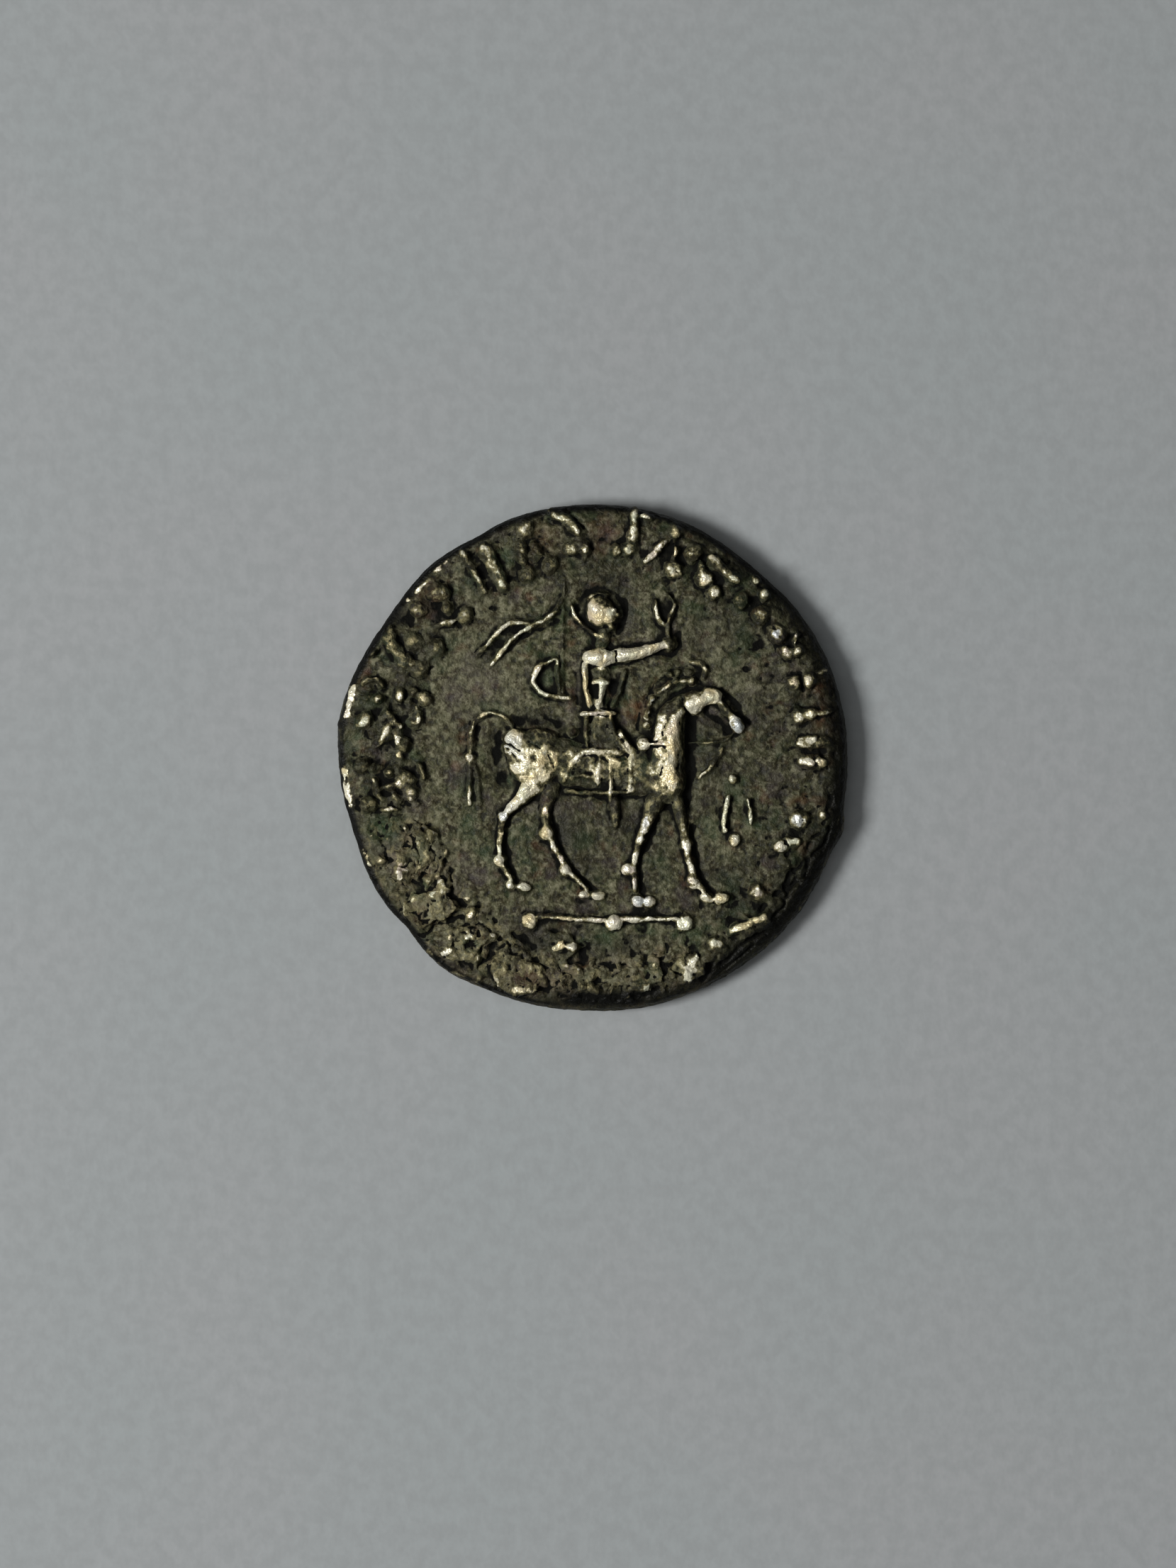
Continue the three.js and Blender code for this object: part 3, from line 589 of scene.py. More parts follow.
def joinParts():
    bpy.data.objects.remove(domeMaster)
    paths = [part for part in parts if part.type == "CURVE"]
    selectOnly(*paths)
    bpy.ops.object.convert(target="MESH")
    selectOnly(coin, *parts)
    bpy.ops.object.join()
    applied(coin, "REMESH", mode="VOXEL", voxel_size=strike["voxel"])
    applied(coin, "SMOOTH", factor=0.5, iterations=strike["soften"])
    print("one skin:", len(coin.data.vertices), "points")


joinParts()

# Recesses that the die or decay left: points, half width, depth
recesses = [
    (arcPoints((-1.8, 0.06), 1.22, -5, 215, 14), 0.28, 0.07),  # round the rump
    ([(1.95, 3.2), (2.35, 3.14), (2.66, 3.45), (2.6, 3.8)], 0.1, 0.1),  # round the hand
    (arcPoints((0.25, 4.45), 0.74, -60, 170, 10), 0.14, 0.09),  # round the head
    ([(2.98, 1.2), (3.0, 0.4), (2.98, -0.4), (2.8, -1.3)], 0.19, 0.13),  # before the chest
    ([(3.5, 1.3), (3.9, 1.1), (4.1, 0.8)], 0.14, 0.07),  # under the jaw
    ([(3.95, 2.1), (4.4, 1.6), (4.75, 1.1)], 0.12, 0.07),  # over the nose
    ([(-0.4, -1.14), (0.6, -1.2), (1.3, -1.2)], 0.1, 0.08),  # under the belly
    ([(-1.1, 4.22), (-1.7, 3.92), (-2.25, 3.64), (-2.6, 3.25)], 0.08, 0.06),  # under the ties
    ([(0.85, 4.0), (0.8, 3.55), (1.6, 3.5)], 0.12, 0.07),
    ([(0.1, 2.88), (1.2, 2.92), (2.0, 3.2)], 0.08, 0.06),
    ([(-0.55, 2.6), (-0.5, 1.7)], 0.1, 0.05),
    ([(-3.55, 0.9), (-3.55, 0.1)], 0.08, 0.05),
    ([(1.35, 0.9), (1.4, 1.6), (1.85, 2.3), (2.6, 2.75)], 0.09, 0.06),  # outside the mane
    ([(1.85, 0.75), (1.98, 1.4), (2.45, 1.95), (2.9, 2.15)], 0.09, 0.1),
    ([(-4.4, -3.5), (-4.25, -4.1), (-3.86, -4.5), (-3.5, -4.62)], 0.09, 0.14),  # clefts
    ([(-5.3, -5.4), (-4.5, -5.02), (-4.0, -4.86)], 0.07, 0.12),
    ([(-3.5, -6.3), (-3.1, -5.9), (-2.85, -5.5)], 0.07, 0.12),
    ([(-2.4, -5.4), (-2.1, -5.5), (-1.75, -6.1)], 0.15, 0.15),
    ([(3.6, -6.2), (3.3, -6.9), (2.9, -7.3)], 0.12, 0.14),  # notch at the lower right
    ([(6.9, -2.3), (6.56, -2.6), (6.5, -3.1), (6.0, -3.5), (5.86, -4.0), (5.2, -4.4),
      (4.9, -5.1)], 0.08, 0.12),  # splits in the rim
    ([(7.2, -2.1), (7.02, -2.7), (6.6, -3.0), (6.44, -3.6), (5.9, -4.0), (5.8, -4.5),
      (5.4, -4.9)], 0.06, 0.12),
    ([(5.9, -2.9), (6.2, -3.6), (5.9, -4.2)], 0.06, 0.08),
    ([(5.2, -5.3), (4.5, -5.7), (3.9, -6.3)], 0.09, 0.13),
    ([(4.9, -5.7), (4.3, -6.2), (3.7, -6.7)], 0.06, 0.12),
    ([(7.3, 1.9), (7.2, 2.9), (6.8, 3.5)], 0.06, 0.07),
    ([(7.1, -0.9), (7.25, -1.3), (7.0, -2.0)], 0.07, 0.09),
    ([(-5.15, -2.2), (-4.85, -2.9), (-5.2, -3.7)], 0.05, 0.08),  # between the curled ridges
    ([(-5.6, -2.3), (-5.3, -2.9), (-5.5, -3.5)], 0.05, 0.08),
]
# The same along the front of each leg, and the heights between which a recess runs out
besideLeg = {"gap": 0.1, "half": 0.13, "depth": 0.09}
recessHeights = {"side": (0.8, 1.1), "relief": (1.36, 1.52)}

# Nicks in the worn high places: points, half width, depth
nicks = [
    ([(-2.8, 0.5), (-2.55, 0.4), (-2.25, 0.22)], 0.06, 0.13),
    ([(-2.66, 0.28), (-2.4, 0.12)], 0.05, 0.1),
    ([(-1.95, 0.5), (-1.6, 0.3)], 0.05, 0.06),
    ([(-1.4, 0.1), (-1.2, -0.3)], 0.06, 0.06),
    ([(2.0, -0.6), (2.1, -0.2)], 0.05, 0.05),
    ([(2.1, 0.7), (2.2, 1.1)], 0.05, 0.05),
    ([(2.56, -0.3), (2.64, 0.5), (2.62, 1.1)], 0.05, 0.06),
    ([(3.42, 1.45), (3.5, 1.66), (3.66, 1.78)], 0.07, 0.14),
    ([(3.64, 2.02), (3.72, 1.92)], 0.06, 0.08),
    ([(2.7, 1.86), (2.76, 1.6), (2.9, 1.34)], 0.06, 0.1),
    ([(0.66, 2.9), (0.7, 3.3)], 0.05, 0.12),
    ([(0.3, 3.3), (0.32, 2.9)], 0.04, 0.05),
    ([(6.4, 2.1), (6.3, 2.6)], 0.05, 0.1),
    ([(6.7, 0.3), (6.9, 0.7)], 0.06, 0.08),
    ([(6.8, -0.3), (6.7, 0.1)], 0.05, 0.08),
    ([(6.34, -2.1), (6.4, -1.7)], 0.06, 0.08),
    ([(5.8, -2.5), (6.0, -2.8)], 0.06, 0.08),
    ([(2.4, 5.9), (2.6, 5.6)], 0.05, 0.08),
    ([(5.5, 4.0), (5.7, 3.7)], 0.05, 0.08),
]

# Roughness of the surface: size, how far it moves the metal, its zone and direction
grain = {
    "drift": (0.5, 0.12, "upper", "RGB_TO_XYZ"),
    "quiver": (0.22, 0.07, "relief", "RGB_TO_XYZ"),
    "swell": (1.1, 0.06, "upper", "NORMAL"),
    "mottle": (0.3, 0.065, "upper", "NORMAL"),
    "sway": (0.36, 0.15, "signs", "RGB_TO_XYZ"),
    "flow": (0.55, 0.07, "border", "NORMAL"),
    "warp": (0.4, 0.24, "crust", "RGB_TO_XYZ"),
    "decay": (0.45, 0.11, "crust", "NORMAL"),
    "flake": (0.2, 0.065, "crust", "NORMAL"),
    "rimFlow": (0.35, 0.06, "rim", "NORMAL"),
}


def distanceTo(place, points):
    nearest = np.full(len(place), np.inf)
    for (ax, ay), (bx, by) in zip(points, points[1:]):
        along = np.array([bx - ax, by - ay])
        offset = place[:, :2] - np.array([ax, ay])
        share = np.clip(offset @ along / (along @ along), 0, 1)
        gap = offset - share[:, None] * along
        nearest = np.minimum(nearest, np.hypot(gap[:, 0], gap[:, 1]))
    return nearest


def pressRecesses():
    place = readPlace(coin.data)
    upper = smoothStep(*recessHeights["side"], place[:, 2])
    besideLegs = [([(x + half + besideLeg["gap"], y) for x, y, half, _ in leg["band"][1:]],
                   besideLeg["half"], besideLeg["depth"]) for leg in legs]
    for points, half, depth in recesses + besideLegs:
        low = 1 - smoothStep(*recessHeights["relief"], place[:, 2])
        place[:, 2] -= depth * fade(distanceTo(place, points), half) * upper * low
    for points, half, depth in nicks:
        place[:, 2] -= depth * fade(distanceTo(place, points), half) * upper
    writePlace(coin.data, place)


def markZone(name, weights):
    group = coin.vertex_groups.new(name=name)
    steps = np.round(weights * strike["zoneSteps"]).astype(int)
    for step in range(1, strike["zoneSteps"] + 1):
        chosen = np.nonzero(steps == step)[0]
        if len(chosen):
            group.add(chosen.tolist(), step / strike["zoneSteps"], "REPLACE")


def crustShare(radius, angle):
    sector = smoothStep(*crust["setsIn"], angle) * (1 - smoothStep(*crust["ends"], angle))
    inner = np.interp(angle, crust["innerAt"], crust["inner"])
    return sector * smoothStep(-0.2, 0.4, radius - inner)


def roughen():
    place = readPlace(coin.data)
    radius, angle = polarOf(place)
    angle = angle % 360
    upper = smoothStep(0.9, 1.15, place[:, 2])
    zones = {
        "upper": upper,
        "relief": smoothStep(0.05, 0.14, place[:, 2] - fieldAt(place)),
        "border": upper * smoothStep(5.2, 5.8, radius),
        "signs": upper * smoothStep(4.9, 5.5, radius),
        "crust": upper * crustShare(radius, angle),
        "rim": smoothStep(7.2, 7.5, radius),
    }
    for name, weights in zones.items():
        markZone(name, weights)
    for name, (size, amount, zone, direction) in grain.items():
        texture = bpy.data.textures.new(name, "CLOUDS")
        texture.noise_scale = size
        texture.noise_depth = 3
        texture.cloud_type = "COLOR" if direction == "RGB_TO_XYZ" else "GRAYSCALE"
        applied(coin, "DISPLACE", texture=texture, texture_coords="LOCAL", strength=amount,
                mid_level=0.5, vertex_group=zone, direction=direction)


pressRecesses()
roughen()
print("surface roughened")


# Hollows and crests are measured for the toning and its painted shade, as each point's place
# against its surroundings
def blurred(values, pairs, rounds):
    count = len(values)
    links = np.bincount(pairs.ravel(), minlength=count)[:, None]
    for _ in range(rounds):
        total = np.empty_like(values)
        for axis in range(values.shape[1]):
            column = values[:, axis]
            total[:, axis] = (np.bincount(pairs[:, 0], column[pairs[:, 1]], count)
                              + np.bincount(pairs[:, 1], column[pairs[:, 0]], count))
        values = 0.5 * values + 0.5 * total / links
    return values


def saveValue(name, values):
    layer = coin.data.attributes.new(name, "FLOAT", "POINT")
    layer.data.foreach_set("value", values.astype(np.float32))


def measureToning():
    mesh = coin.data
    place = readPlace(mesh)
    pairs = np.empty(len(mesh.edges) * 2, np.int32)
    mesh.edges.foreach_get("vertices", pairs)
    pairs = pairs.reshape(-1, 2)
    normal = np.empty(len(place) * 3, np.float32)
    mesh.vertex_normals.foreach_get("vector", normal)
    normal = normal.reshape(-1, 3)
    near = blurred(place, pairs, strike["nearRounds"])
    wide = blurred(near, pairs, strike["wideRounds"])
    saveValue("fineHollow", ((near - place) * normal).sum(axis=1))
    saveValue("broadHollow", ((wide - place) * normal).sum(axis=1))
    saveValue("standing", np.where(place[:, 2] > 0.75, place[:, 2] - fieldAt(place), 0))
    saveValue("open", 1 - smoothStep(0.01, 0.045, np.abs(wide[:, 2] - fieldAt(wide))))


# Where hands and purses rubbed the silver bright, with painted glints along the lit left rim:
# points, half width, how bright
wearAndGlints = [
    ([(-2.5, 0.5), (-2.2, -0.1), (-1.5, 0.0), (-1.9, -0.8)], 0.42, 0.76),  # rump
    ([(-2.0, -0.8), (-2.7, -1.6)], 0.2, 0.8),
    ([(2.36, -0.8), (2.42, 0.3), (2.44, 1.2)], 0.18, 1.0),  # neck
    ([(2.44, 1.2), (2.6, 1.4)], 0.15, 0.5),
    ([(2.1, -0.9), (2.1, 0.3), (2.1, 1.1)], 0.26, 0.62),
    ([(1.5, 0.44), (2.3, 0.4)], 0.2, 0.9),  # knot
    ([(3.0, 1.6), (3.75, 1.95)], 0.3, 1.0),  # cheek and forehead
    ([(4.34, 1.14), (4.48, 0.9)], 0.24, 0.75),  # muzzle
    ([(1.58, 0.95), (1.75, 1.6), (2.3, 2.18), (3.0, 2.4)], 0.18, 0.42),  # mane
    ([(2.95, 2.9), (3.4, 2.8)], 0.14, 0.4),
    ([(1.9, 4.84), (1.93, 4.3), (2.16, 4.1)], 0.1, 0.4),  # rod
    ([(2.52, 4.76), (2.22, 4.1)], 0.1, 0.3),
    ([(-1.2, 4.42), (-2.3, 3.84), (-2.68, 3.44), (-3.12, 2.88)], 0.12, 0.55),  # ties
    ([(-1.95, 4.14), (-2.56, 4.2), (-2.92, 3.87), (-3.21, 3.5)], 0.12, 0.5),
    ([(-0.66, 4.7), (-0.56, 4.3), (-0.16, 3.9), (0.2, 3.72)], 0.12, 0.55),  # hood
    ([(-2.62, 1.22), (-3.1, 1.44), (-3.6, 1.28), (-3.77, 0.7)], 0.12, 0.5),  # tail
    ([(-0.14, 3.08), (0.5, 3.08)], 0.28, 1.6),  # shoulders
    ([(0.5, 3.15), (1.3, 3.22), (1.98, 3.42)], 0.22, 1.9),  # arm
    ([(2.95, 0.48), (3.9, 0.46)], 0.1, 0.4),  # reins
    ([(3.95, 0.3), (3.75, -0.05), (3.2, -0.6)], 0.1, 0.45),
    ([(0.24, 2.3), (0.24, 2.0), (0.14, 1.55)], 0.16, 1.1),  # coat
    ([(0.0, 2.3), (0.44, 2.3)], 0.1, 0.9),
    ([(-0.24, 2.85), (-0.24, 2.3), (-0.12, 1.6)], 0.1, 0.95),
    ([(-0.36, 1.35), (0.62, 1.38)], 0.14, 0.8),  # belt
    ([(0.0, 4.55), (0.3, 4.4)], 0.36, 0.9),  # head
    ([(-1.1, 3.0), (-1.7, 2.8), (-1.9, 2.4), (-1.5, 1.95), (-0.8, 1.85)], 0.14, 0.6),  # bow
    ([(-0.9, -0.4), (-0.3, 0.16), (1.05, 0.16)], 0.18, 0.55),  # saddle cloth
    ([(0.16, 0.1), (0.12, -0.7)], 0.14, 0.6),
    ([(0.52, 0.0), (0.52, -1.0)], 0.12, 0.5),
    ([(1.14, 0.1), (1.14, -0.95)], 0.16, 0.7),
    ([(0.0, -0.3), (1.1, -0.3)], 0.5, 0.4),
    ([(-0.9, 0.1), (-0.4, -0.2)], 0.3, 0.35),
    ([(1.9, -0.7), (1.9, 0.9)], 0.3, 0.5),
    ([(0.8, 0.7), (1.2, 0.0)], 0.12, 0.5),
    ([(-3.78, 0.06), (-3.78, -0.02)], 0.2, 0.7),  # tail ring
    ([(-3.8, -0.9), (-3.8, -1.4)], 0.12, 0.6),
    # painted glints: bright metal along the lit left rim
    ([(-7.34, 2.2), (-7.5, 1.3)], 0.085, 2.2),  # rim
    ([(-7.62, -0.3), (-7.56, -0.8), (-7.42, -1.4)], 0.09, 3.0),
    ([(-7.05, -2.8), (-6.75, -3.4)], 0.08, 1.6),
    ([(-5.66, 4.84), (-5.05, 5.4)], 0.07, 2.2),
    ([(-4.85, 5.7), (-4.4, 6.04)], 0.07, 1.8),
    ([(-4.6, -5.98), (-4.44, -5.86)], 0.1, 0.9),  # crust
    ([(-2.4, -7.05), (-1.9, -7.1)], 0.1, 0.6),
    ([(-1.5, -6.9), (-1.4, -6.8)], 0.1, 0.5),
    ([(-1.2, -5.8), (-0.64, -5.7)], 0.14, 0.8),
    ([(3.1, -6.0), (2.9, -6.7)], 0.16, 0.7),
    ([(0.4, -6.8), (0.6, -6.8)], 0.14, 0.6),
    ([(1.5, -6.85), (1.7, -6.8)], 0.14, 0.6),
    ([(2.1, -6.0), (2.3, -5.9)], 0.14, 0.6),
    ([(-6.6, -4.2), (-6.4, -4.5)], 0.12, 0.5),
]

# The same on the small forms, where beads are worn over their own size
formWear = {"shin": (0.16, 0.42), "hoof": (0.24, 0.95), "groundLine": (0.18, 0.7),
            "bar": (0.14, 0.75), "joint": 0.85, "groundBead": 0.95, "markBead": 0.9,
            "signWidth": 0.75}
groundWear = {"field": 0.16, "crust": 0.05, "under": 0.9, "underBelow": 0.5}

# Painted shade and dirt by the rim, darkest on the side turned from the light and along the bottom:
# distances from the edge, and where it is thickest
rimShadeAndDirt = {"edge": (0.14, 0.32), "shade": (0.3, 0.85), "shadeTurn": 28,
           "bottom": (0.48, 0.8), "bottomLobe": (273, 1.6, 12),
           "border": (5.3, 6.0), "borderShare": 0.12}

# Small bright flecks of worn silver that also stand in as painted glints: angles, radii, how many
flecks = [(150, 195, 5.4, 7.3, 30), (195, 240, 5.2, 7.2, 50), (260, 300, 5.6, 7.2, 24)]

# Stains and painted shade: middle, radius, how strong
stainsAndShade = {
    "greenStain": [
        (-6.4, -2.1, 0.5, 0.9), (0.5, -5.5, 0.35, 0.8), (-6.7, 1.7, 0.4, 0.6),
        (-3.9, -0.9, 0.4, 0.5),
    ],
    "copperStain": [
        (6.95, 1.3, 0.35, 0.9), (6.95, 2.2, 0.3, 0.7), (6.9, 0.3, 0.25, 0.6),
        (1.3, 1.5, 0.4, 0.6), (-2.0, -6.75, 0.4, 0.6), (-5.3, -4.7, 0.35, 0.7),
        (-3.9, 0.6, 0.2, 0.6), (2.9, -2.9, 0.25, 0.5), (-5.0, 5.0, 0.5, 0.35),
        (-1.6, 6.7, 0.5, 0.35), (0.4, 6.9, 0.5, 0.35),
    ],
    # dark stains, partly painted shade: on the rim turned from the light and along its bottom,
    # between the legs, before the chest and towards the right of the field
    "darkStainAndShade": [
        (6.9, -2.4, 0.7, 0.6), (6.3, -3.6, 0.7, 0.7), (5.4, -4.9, 0.7, 0.8),
        (4.4, -5.9, 0.5, 0.7), (3.7, -6.6, 0.5, 0.7), (7.1, 0.2, 0.5, 0.5),
        (-0.8, -7.4, 0.5, 1.0), (0.2, -7.5, 0.5, 1.0), (1.2, -7.4, 0.5, 1.0),
        (1.9, -7.2, 0.4, 0.9), (-2.4, -6.2, 0.5, 0.4), (-2.0, -6.7, 0.4, 0.4),
        (7.3, 1.2, 0.5, 0.6), (6.9, 2.8, 0.5, 0.5), (7.0, 3.6, 0.4, 0.5), (6.4, 1.8, 0.6, 0.5),
        (6.5, 0.95, 0.5, 0.4), (-6.35, -4.6, 0.3, 0.8), (-0.9, -2.3, 0.8, 0.8),
        (1.0, -1.9, 0.7, 0.6), (5.3, 1.2, 1.4, 0.2), (0.4, 5.3, 0.9, 0.6), (5.0, -0.4, 1.0, 0.3),
        (-1.9, -5.4, 0.6, 0.6), (-2.1, -5.7, 0.35, 1.0), (-1.6, 0.85, 0.4, 0.6),
        (3.5, 0.2, 0.7, 0.5), (7.3, -0.6, 0.4, 0.6), (4.2, 4.2, 1.2, 0.35), (3.9, -0.4, 0.8, 0.4),
    ],
    "paleStain": [
        (-5.0, -4.7, 0.8, 0.9), (-3.9, -5.5, 0.6, 0.6), (-5.4, -0.9, 0.5, 0.5),
        (-4.3, 1.4, 1.1, 0.5), (-3.2, 2.2, 1.0, 0.7), (0.6, -6.5, 1.2, 0.5),
        (-4.4, -2.9, 0.7, 0.6), (4.6, 2.4, 0.8, 0.4), (-3.4, 4.6, 1.0, 0.6),
        (-4.4, 3.2, 0.9, 0.6), (3.6, 3.4, 0.8, 0.4), (3.9, -2.4, 0.6, 0.5),
    ],
    "violetStain": [
        (-3.4, 2.3, 0.5, 0.6), (-1.9, -5.3, 0.5, 0.6), (0.7, 2.2, 0.3, 0.5),
        (0.95, 4.2, 0.35, 0.6), (-4.3, -4.0, 0.4, 0.5),
    ],
    # warmer and colder metal
    "goldTone": [
        (2.4, 0.3, 0.5, 0.9), (2.4, -0.6, 0.5, 0.9), (-1.4, -0.1, 0.55, 1.0),
        (2.4, 0.9, 0.4, 0.6), (-2.0, -0.6, 0.4, 0.7), (0.6, -0.2, 0.6, 0.7),
        (3.9, -4.2, 0.4, 0.7), (4.7, -5.1, 0.5, 0.7), (-6.1, 3.6, 0.4, 1.0),
        (-2.0, -7.0, 0.6, 0.6), (1.4, 3.2, 0.4, 0.4), (6.2, 2.4, 0.4, 0.5),
        (-1.9, -5.0, 0.3, 0.5), (3.4, 1.8, 0.4, 0.4),
    ],
    "coldTone": [
        (4.4, 1.0, 0.35, 0.8), (1.7, -1.9, 0.5, 0.6), (1.5, -4.35, 0.4, 0.7),
        (5.5, 3.9, 0.4, 0.9), (5.0, 4.6, 0.4, 0.5), (1.8, 1.8, 0.5, 0.6), (-2.6, 0.4, 0.3, 0.5),
        (-2.8, -1.8, 0.3, 0.6), (6.3, -1.9, 0.4, 0.6),
    ],
}


def dot(x, y):  # a path so short that it is a spot
    return [(x, y), (x, y + 0.01)]


def wornAndGlintSpots():
    spots = list(wearAndGlints)
    for leg in legs:
        spots.append(([station[:2] for station in leg["band"][1:]], *formWear["shin"]))
        spots.append(([hoof[:2] for hoof in leg["hoof"]], *formWear["hoof"]))
        spots += [(dot(x, y), size, formWear["joint"]) for x, y, size in leg["joints"]]
    spots.append(([bead[:2] for bead in groundLine["beads"]], *formWear["groundLine"]))
    spots += [(dot(x, y), size * 1.1, formWear["groundBead"]) for x, y, size in groundLine["beads"]]
    spots += [(dot(x, y), size, formWear["markBead"]) for x, y, size in fieldMark["beads"]]
    spots += [(bar, *formWear["bar"]) for bar in fieldMark["bars"]]
    signs = [(dot(x, y), size) for x, y, size in border["beads"]]
    for points, half in signs + border["strokes"]:
        turn = math.degrees(math.atan2(points[0][1], points[0][0])) % 360
        bright = np.interp(turn, border["wornAt"], border["wornAndGlints"])
        spots.append((points, half * formWear["signWidth"], bright * chance.uniform(0.65, 1.25)))
    for start, end, inner, outer, count in flecks:
        for _ in range(count):
            x, y = polar(chance.uniform(start, end), chance.uniform(inner, outer))
            spots.append(([(x, y), (x + 0.01, y + chance.uniform(-0.15, 0.15))],
                          chance.uniform(0.05, 0.1), chance.uniform(0.5, 1.1)))
    return spots


# Painted shade on the rim: darkest where it turns away from the light and along the bottom, with a
# little dirt over the border
def rimShadeAndDirtAt(place, radius, angle, crusted):
    gap = flan["radius"] + lobeSum(flan["lobes"], angle) - radius
    shade = 0.5 + 0.5 * np.cos(np.radians(angle + rimShadeAndDirt["shadeTurn"]))
    bottom = np.minimum(1, lobeSum([rimShadeAndDirt["bottomLobe"]], angle))
    dirtAndShade = 1 - smoothStep(*rimShadeAndDirt["edge"], gap)
    dirtAndShade = np.maximum(dirtAndShade, shade * (1 - smoothStep(*rimShadeAndDirt["shade"], gap)))
    dirtAndShade = np.maximum(dirtAndShade, bottom * (1 - smoothStep(*rimShadeAndDirt["bottom"], gap)))
    ring = rimShadeAndDirt["borderShare"] * smoothStep(*rimShadeAndDirt["border"], radius)
    dirtAndShade = np.maximum(dirtAndShade, ring * (1 - crusted))
    wall = 0.15 + 0.55 * smoothStep(0.3, 0.7, place[:, 2])  # less painted shade and dirt down the side
    return dirtAndShade * (wall + 0.3 * smoothStep(0.8, 1.0, place[:, 2]))


def markWearGlintsAndShade():
    place = readPlace(coin.data)
    radius, angle = polarOf(place)
    angle = angle % 360
    crusted = crustShare(radius, angle)
    saveValue("crusted", crusted)
    saveValue("edgeShadeAndDirt", rimShadeAndDirtAt(place, radius, angle, crusted))
    wornAndGlints = groundWear["field"] + groundWear["crust"] * crusted
    for points, half, bright in wornAndGlintSpots():
        wornAndGlints = np.maximum(wornAndGlints, bright * fade(distanceTo(place, points), half))
    under = place[:, 2] < groundWear["underBelow"]
    saveValue("wornAndGlints", np.where(under, groundWear["under"], wornAndGlints))
    for name, marks in stainsAndShade.items():
        stain = np.zeros(len(place))
        for x, y, size, strong in marks:
            gap = np.hypot(place[:, 0] - x, place[:, 1] - y)
            stain = np.maximum(stain, strong * fade(gap, size))
        saveValue(name, stain)


def thinOut():
    faces = len(coin.data.polygons) * 2
    isLow = readPlace(coin.data)[:, 2] < strike["splitHeight"]
    lowShare = isLow.mean()
    for below, target, share in ((True, strike["underFaces"], lowShare),
                                 (False, strike["topFaces"], 1 - lowShare)):
        isLow = readPlace(coin.data)[:, 2] < strike["splitHeight"]
        selectOnly(coin)
        enter("EDIT")
        bpy.ops.mesh.select_all(action="DESELECT")
        enter("OBJECT")
        coin.data.vertices.foreach_set("select", isLow == below)
        enter("EDIT")
        bpy.ops.mesh.decimate(ratio=min(1, target / (faces * share)))
        enter("OBJECT")


measureToning()
print("toning measured")
thinOut()
markWearGlintsAndShade()
print("skin thinned to", sum(len(face.vertices) - 2 for face in coin.data.polygons), "triangles")


def settle():  # the outline's middle over the origin, the resting ring on the paper, in metres
    place = readPlace(coin.data)
    low = place.min(axis=0)
    high = place.max(axis=0)
    place -= ((low[0] + high[0]) / 2, (low[1] + high[1]) / 2, low[2])
    writePlace(coin.data, place)
    coin.scale = (0.001, 0.001, 0.001)
    selectOnly(coin)
    bpy.ops.object.transform_apply(location=True, rotation=True, scale=True)
    bpy.ops.object.shade_smooth()
    coin.vertex_groups.clear()


settle()


# Materials
class Wire:
    def __init__(self, tree, socket):
        self.tree = tree
        self.socket = socket

    def combine(self, operation, first, second):
        node = self.tree.nodes.new("ShaderNodeMath")
        node.operation = operation
        for slot, value in zip(node.inputs, (first, second)):
            plug(self.tree, slot, value)
        return Wire(self.tree, node.outputs[0])

    def __add__(self, other):
        return self.combine("ADD", self, other)

    def __radd__(self, other):
        return self.combine("ADD", other, self)

    def __sub__(self, other):
        return self.combine("SUBTRACT", self, other)

    def __rsub__(self, other):
        return self.combine("SUBTRACT", other, self)

    def __mul__(self, other):
        return self.combine("MULTIPLY", self, other)

    def __rmul__(self, other):
        return self.combine("MULTIPLY", other, self)

    def ramp(self, low, high):  # 0 at low, 1 at high, eased between
        node = self.tree.nodes.new("ShaderNodeMapRange")
        node.interpolation_type = "SMOOTHSTEP"
        for slot, value in zip(node.inputs, (self, low, high, 0.0, 1.0)):
            plug(self.tree, slot, value)
        return Wire(self.tree, node.outputs[0])


def plug(tree, slot, value):
    if isinstance(value, Wire):
        tree.links.new(value.socket, slot)
    else:
        slot.default_value = value


class Finish:
    def __init__(self, name):
        self.material = bpy.data.materials.new(name)
        self.material.use_nodes = True
        self.tree = self.material.node_tree
        self.shader = self.tree.nodes["Principled BSDF"]
        self.place = self.node("ShaderNodeTexCoord", output="Object")

    def node(self, kind, settings=None, inputs=None, output=0):
        made = self.tree.nodes.new(kind)
        for name, value in (settings or {}).items():
            setattr(made, name, value)
        for name, value in (inputs or {}).items():
            plug(self.tree, made.inputs[name], value)
        return Wire(self.tree, made.outputs[output])

    def noise(self, size, detail=2.0, rough=0.5, shift=0.0):  # size of a patch in millimetres
        spot = self.node("ShaderNodeVectorMath", {"operation": "ADD"},
                         {0: self.place, 1: (shift, shift, 0.0)})
        return self.node("ShaderNodeTexNoise", None,
                         {"Vector": spot, "Scale": 1000 / size, "Detail": detail,
                          "Roughness": rough}, output=0)

    def value(self, name):
        return self.node("ShaderNodeAttribute", {"attribute_name": name}, output="Fac")

    def mix(self, share, first, second):
        made = self.tree.nodes.new("ShaderNodeMix")
        made.data_type = "RGBA"
        plug(self.tree, made.inputs["Factor"], share)
        plug(self.tree, made.inputs[6], first)
        plug(self.tree, made.inputs[7], second)
        return Wire(self.tree, made.outputs[2])

    def layered(self, colour, layers):  # each layer is its share and its tone
        for share, tone in layers:
            colour = self.mix(share, colour, silver[tone])
        return colour

    def bump(self, height, strength, distance):
        return self.node("ShaderNodeBump", None,
                         {"Height": height, "Strength": strength, "Distance": distance},
                         output="Normal")

    def set(self, **values):
        for name, value in values.items():
            plug(self.tree, self.shader.inputs[name.replace("_", " ")], value)


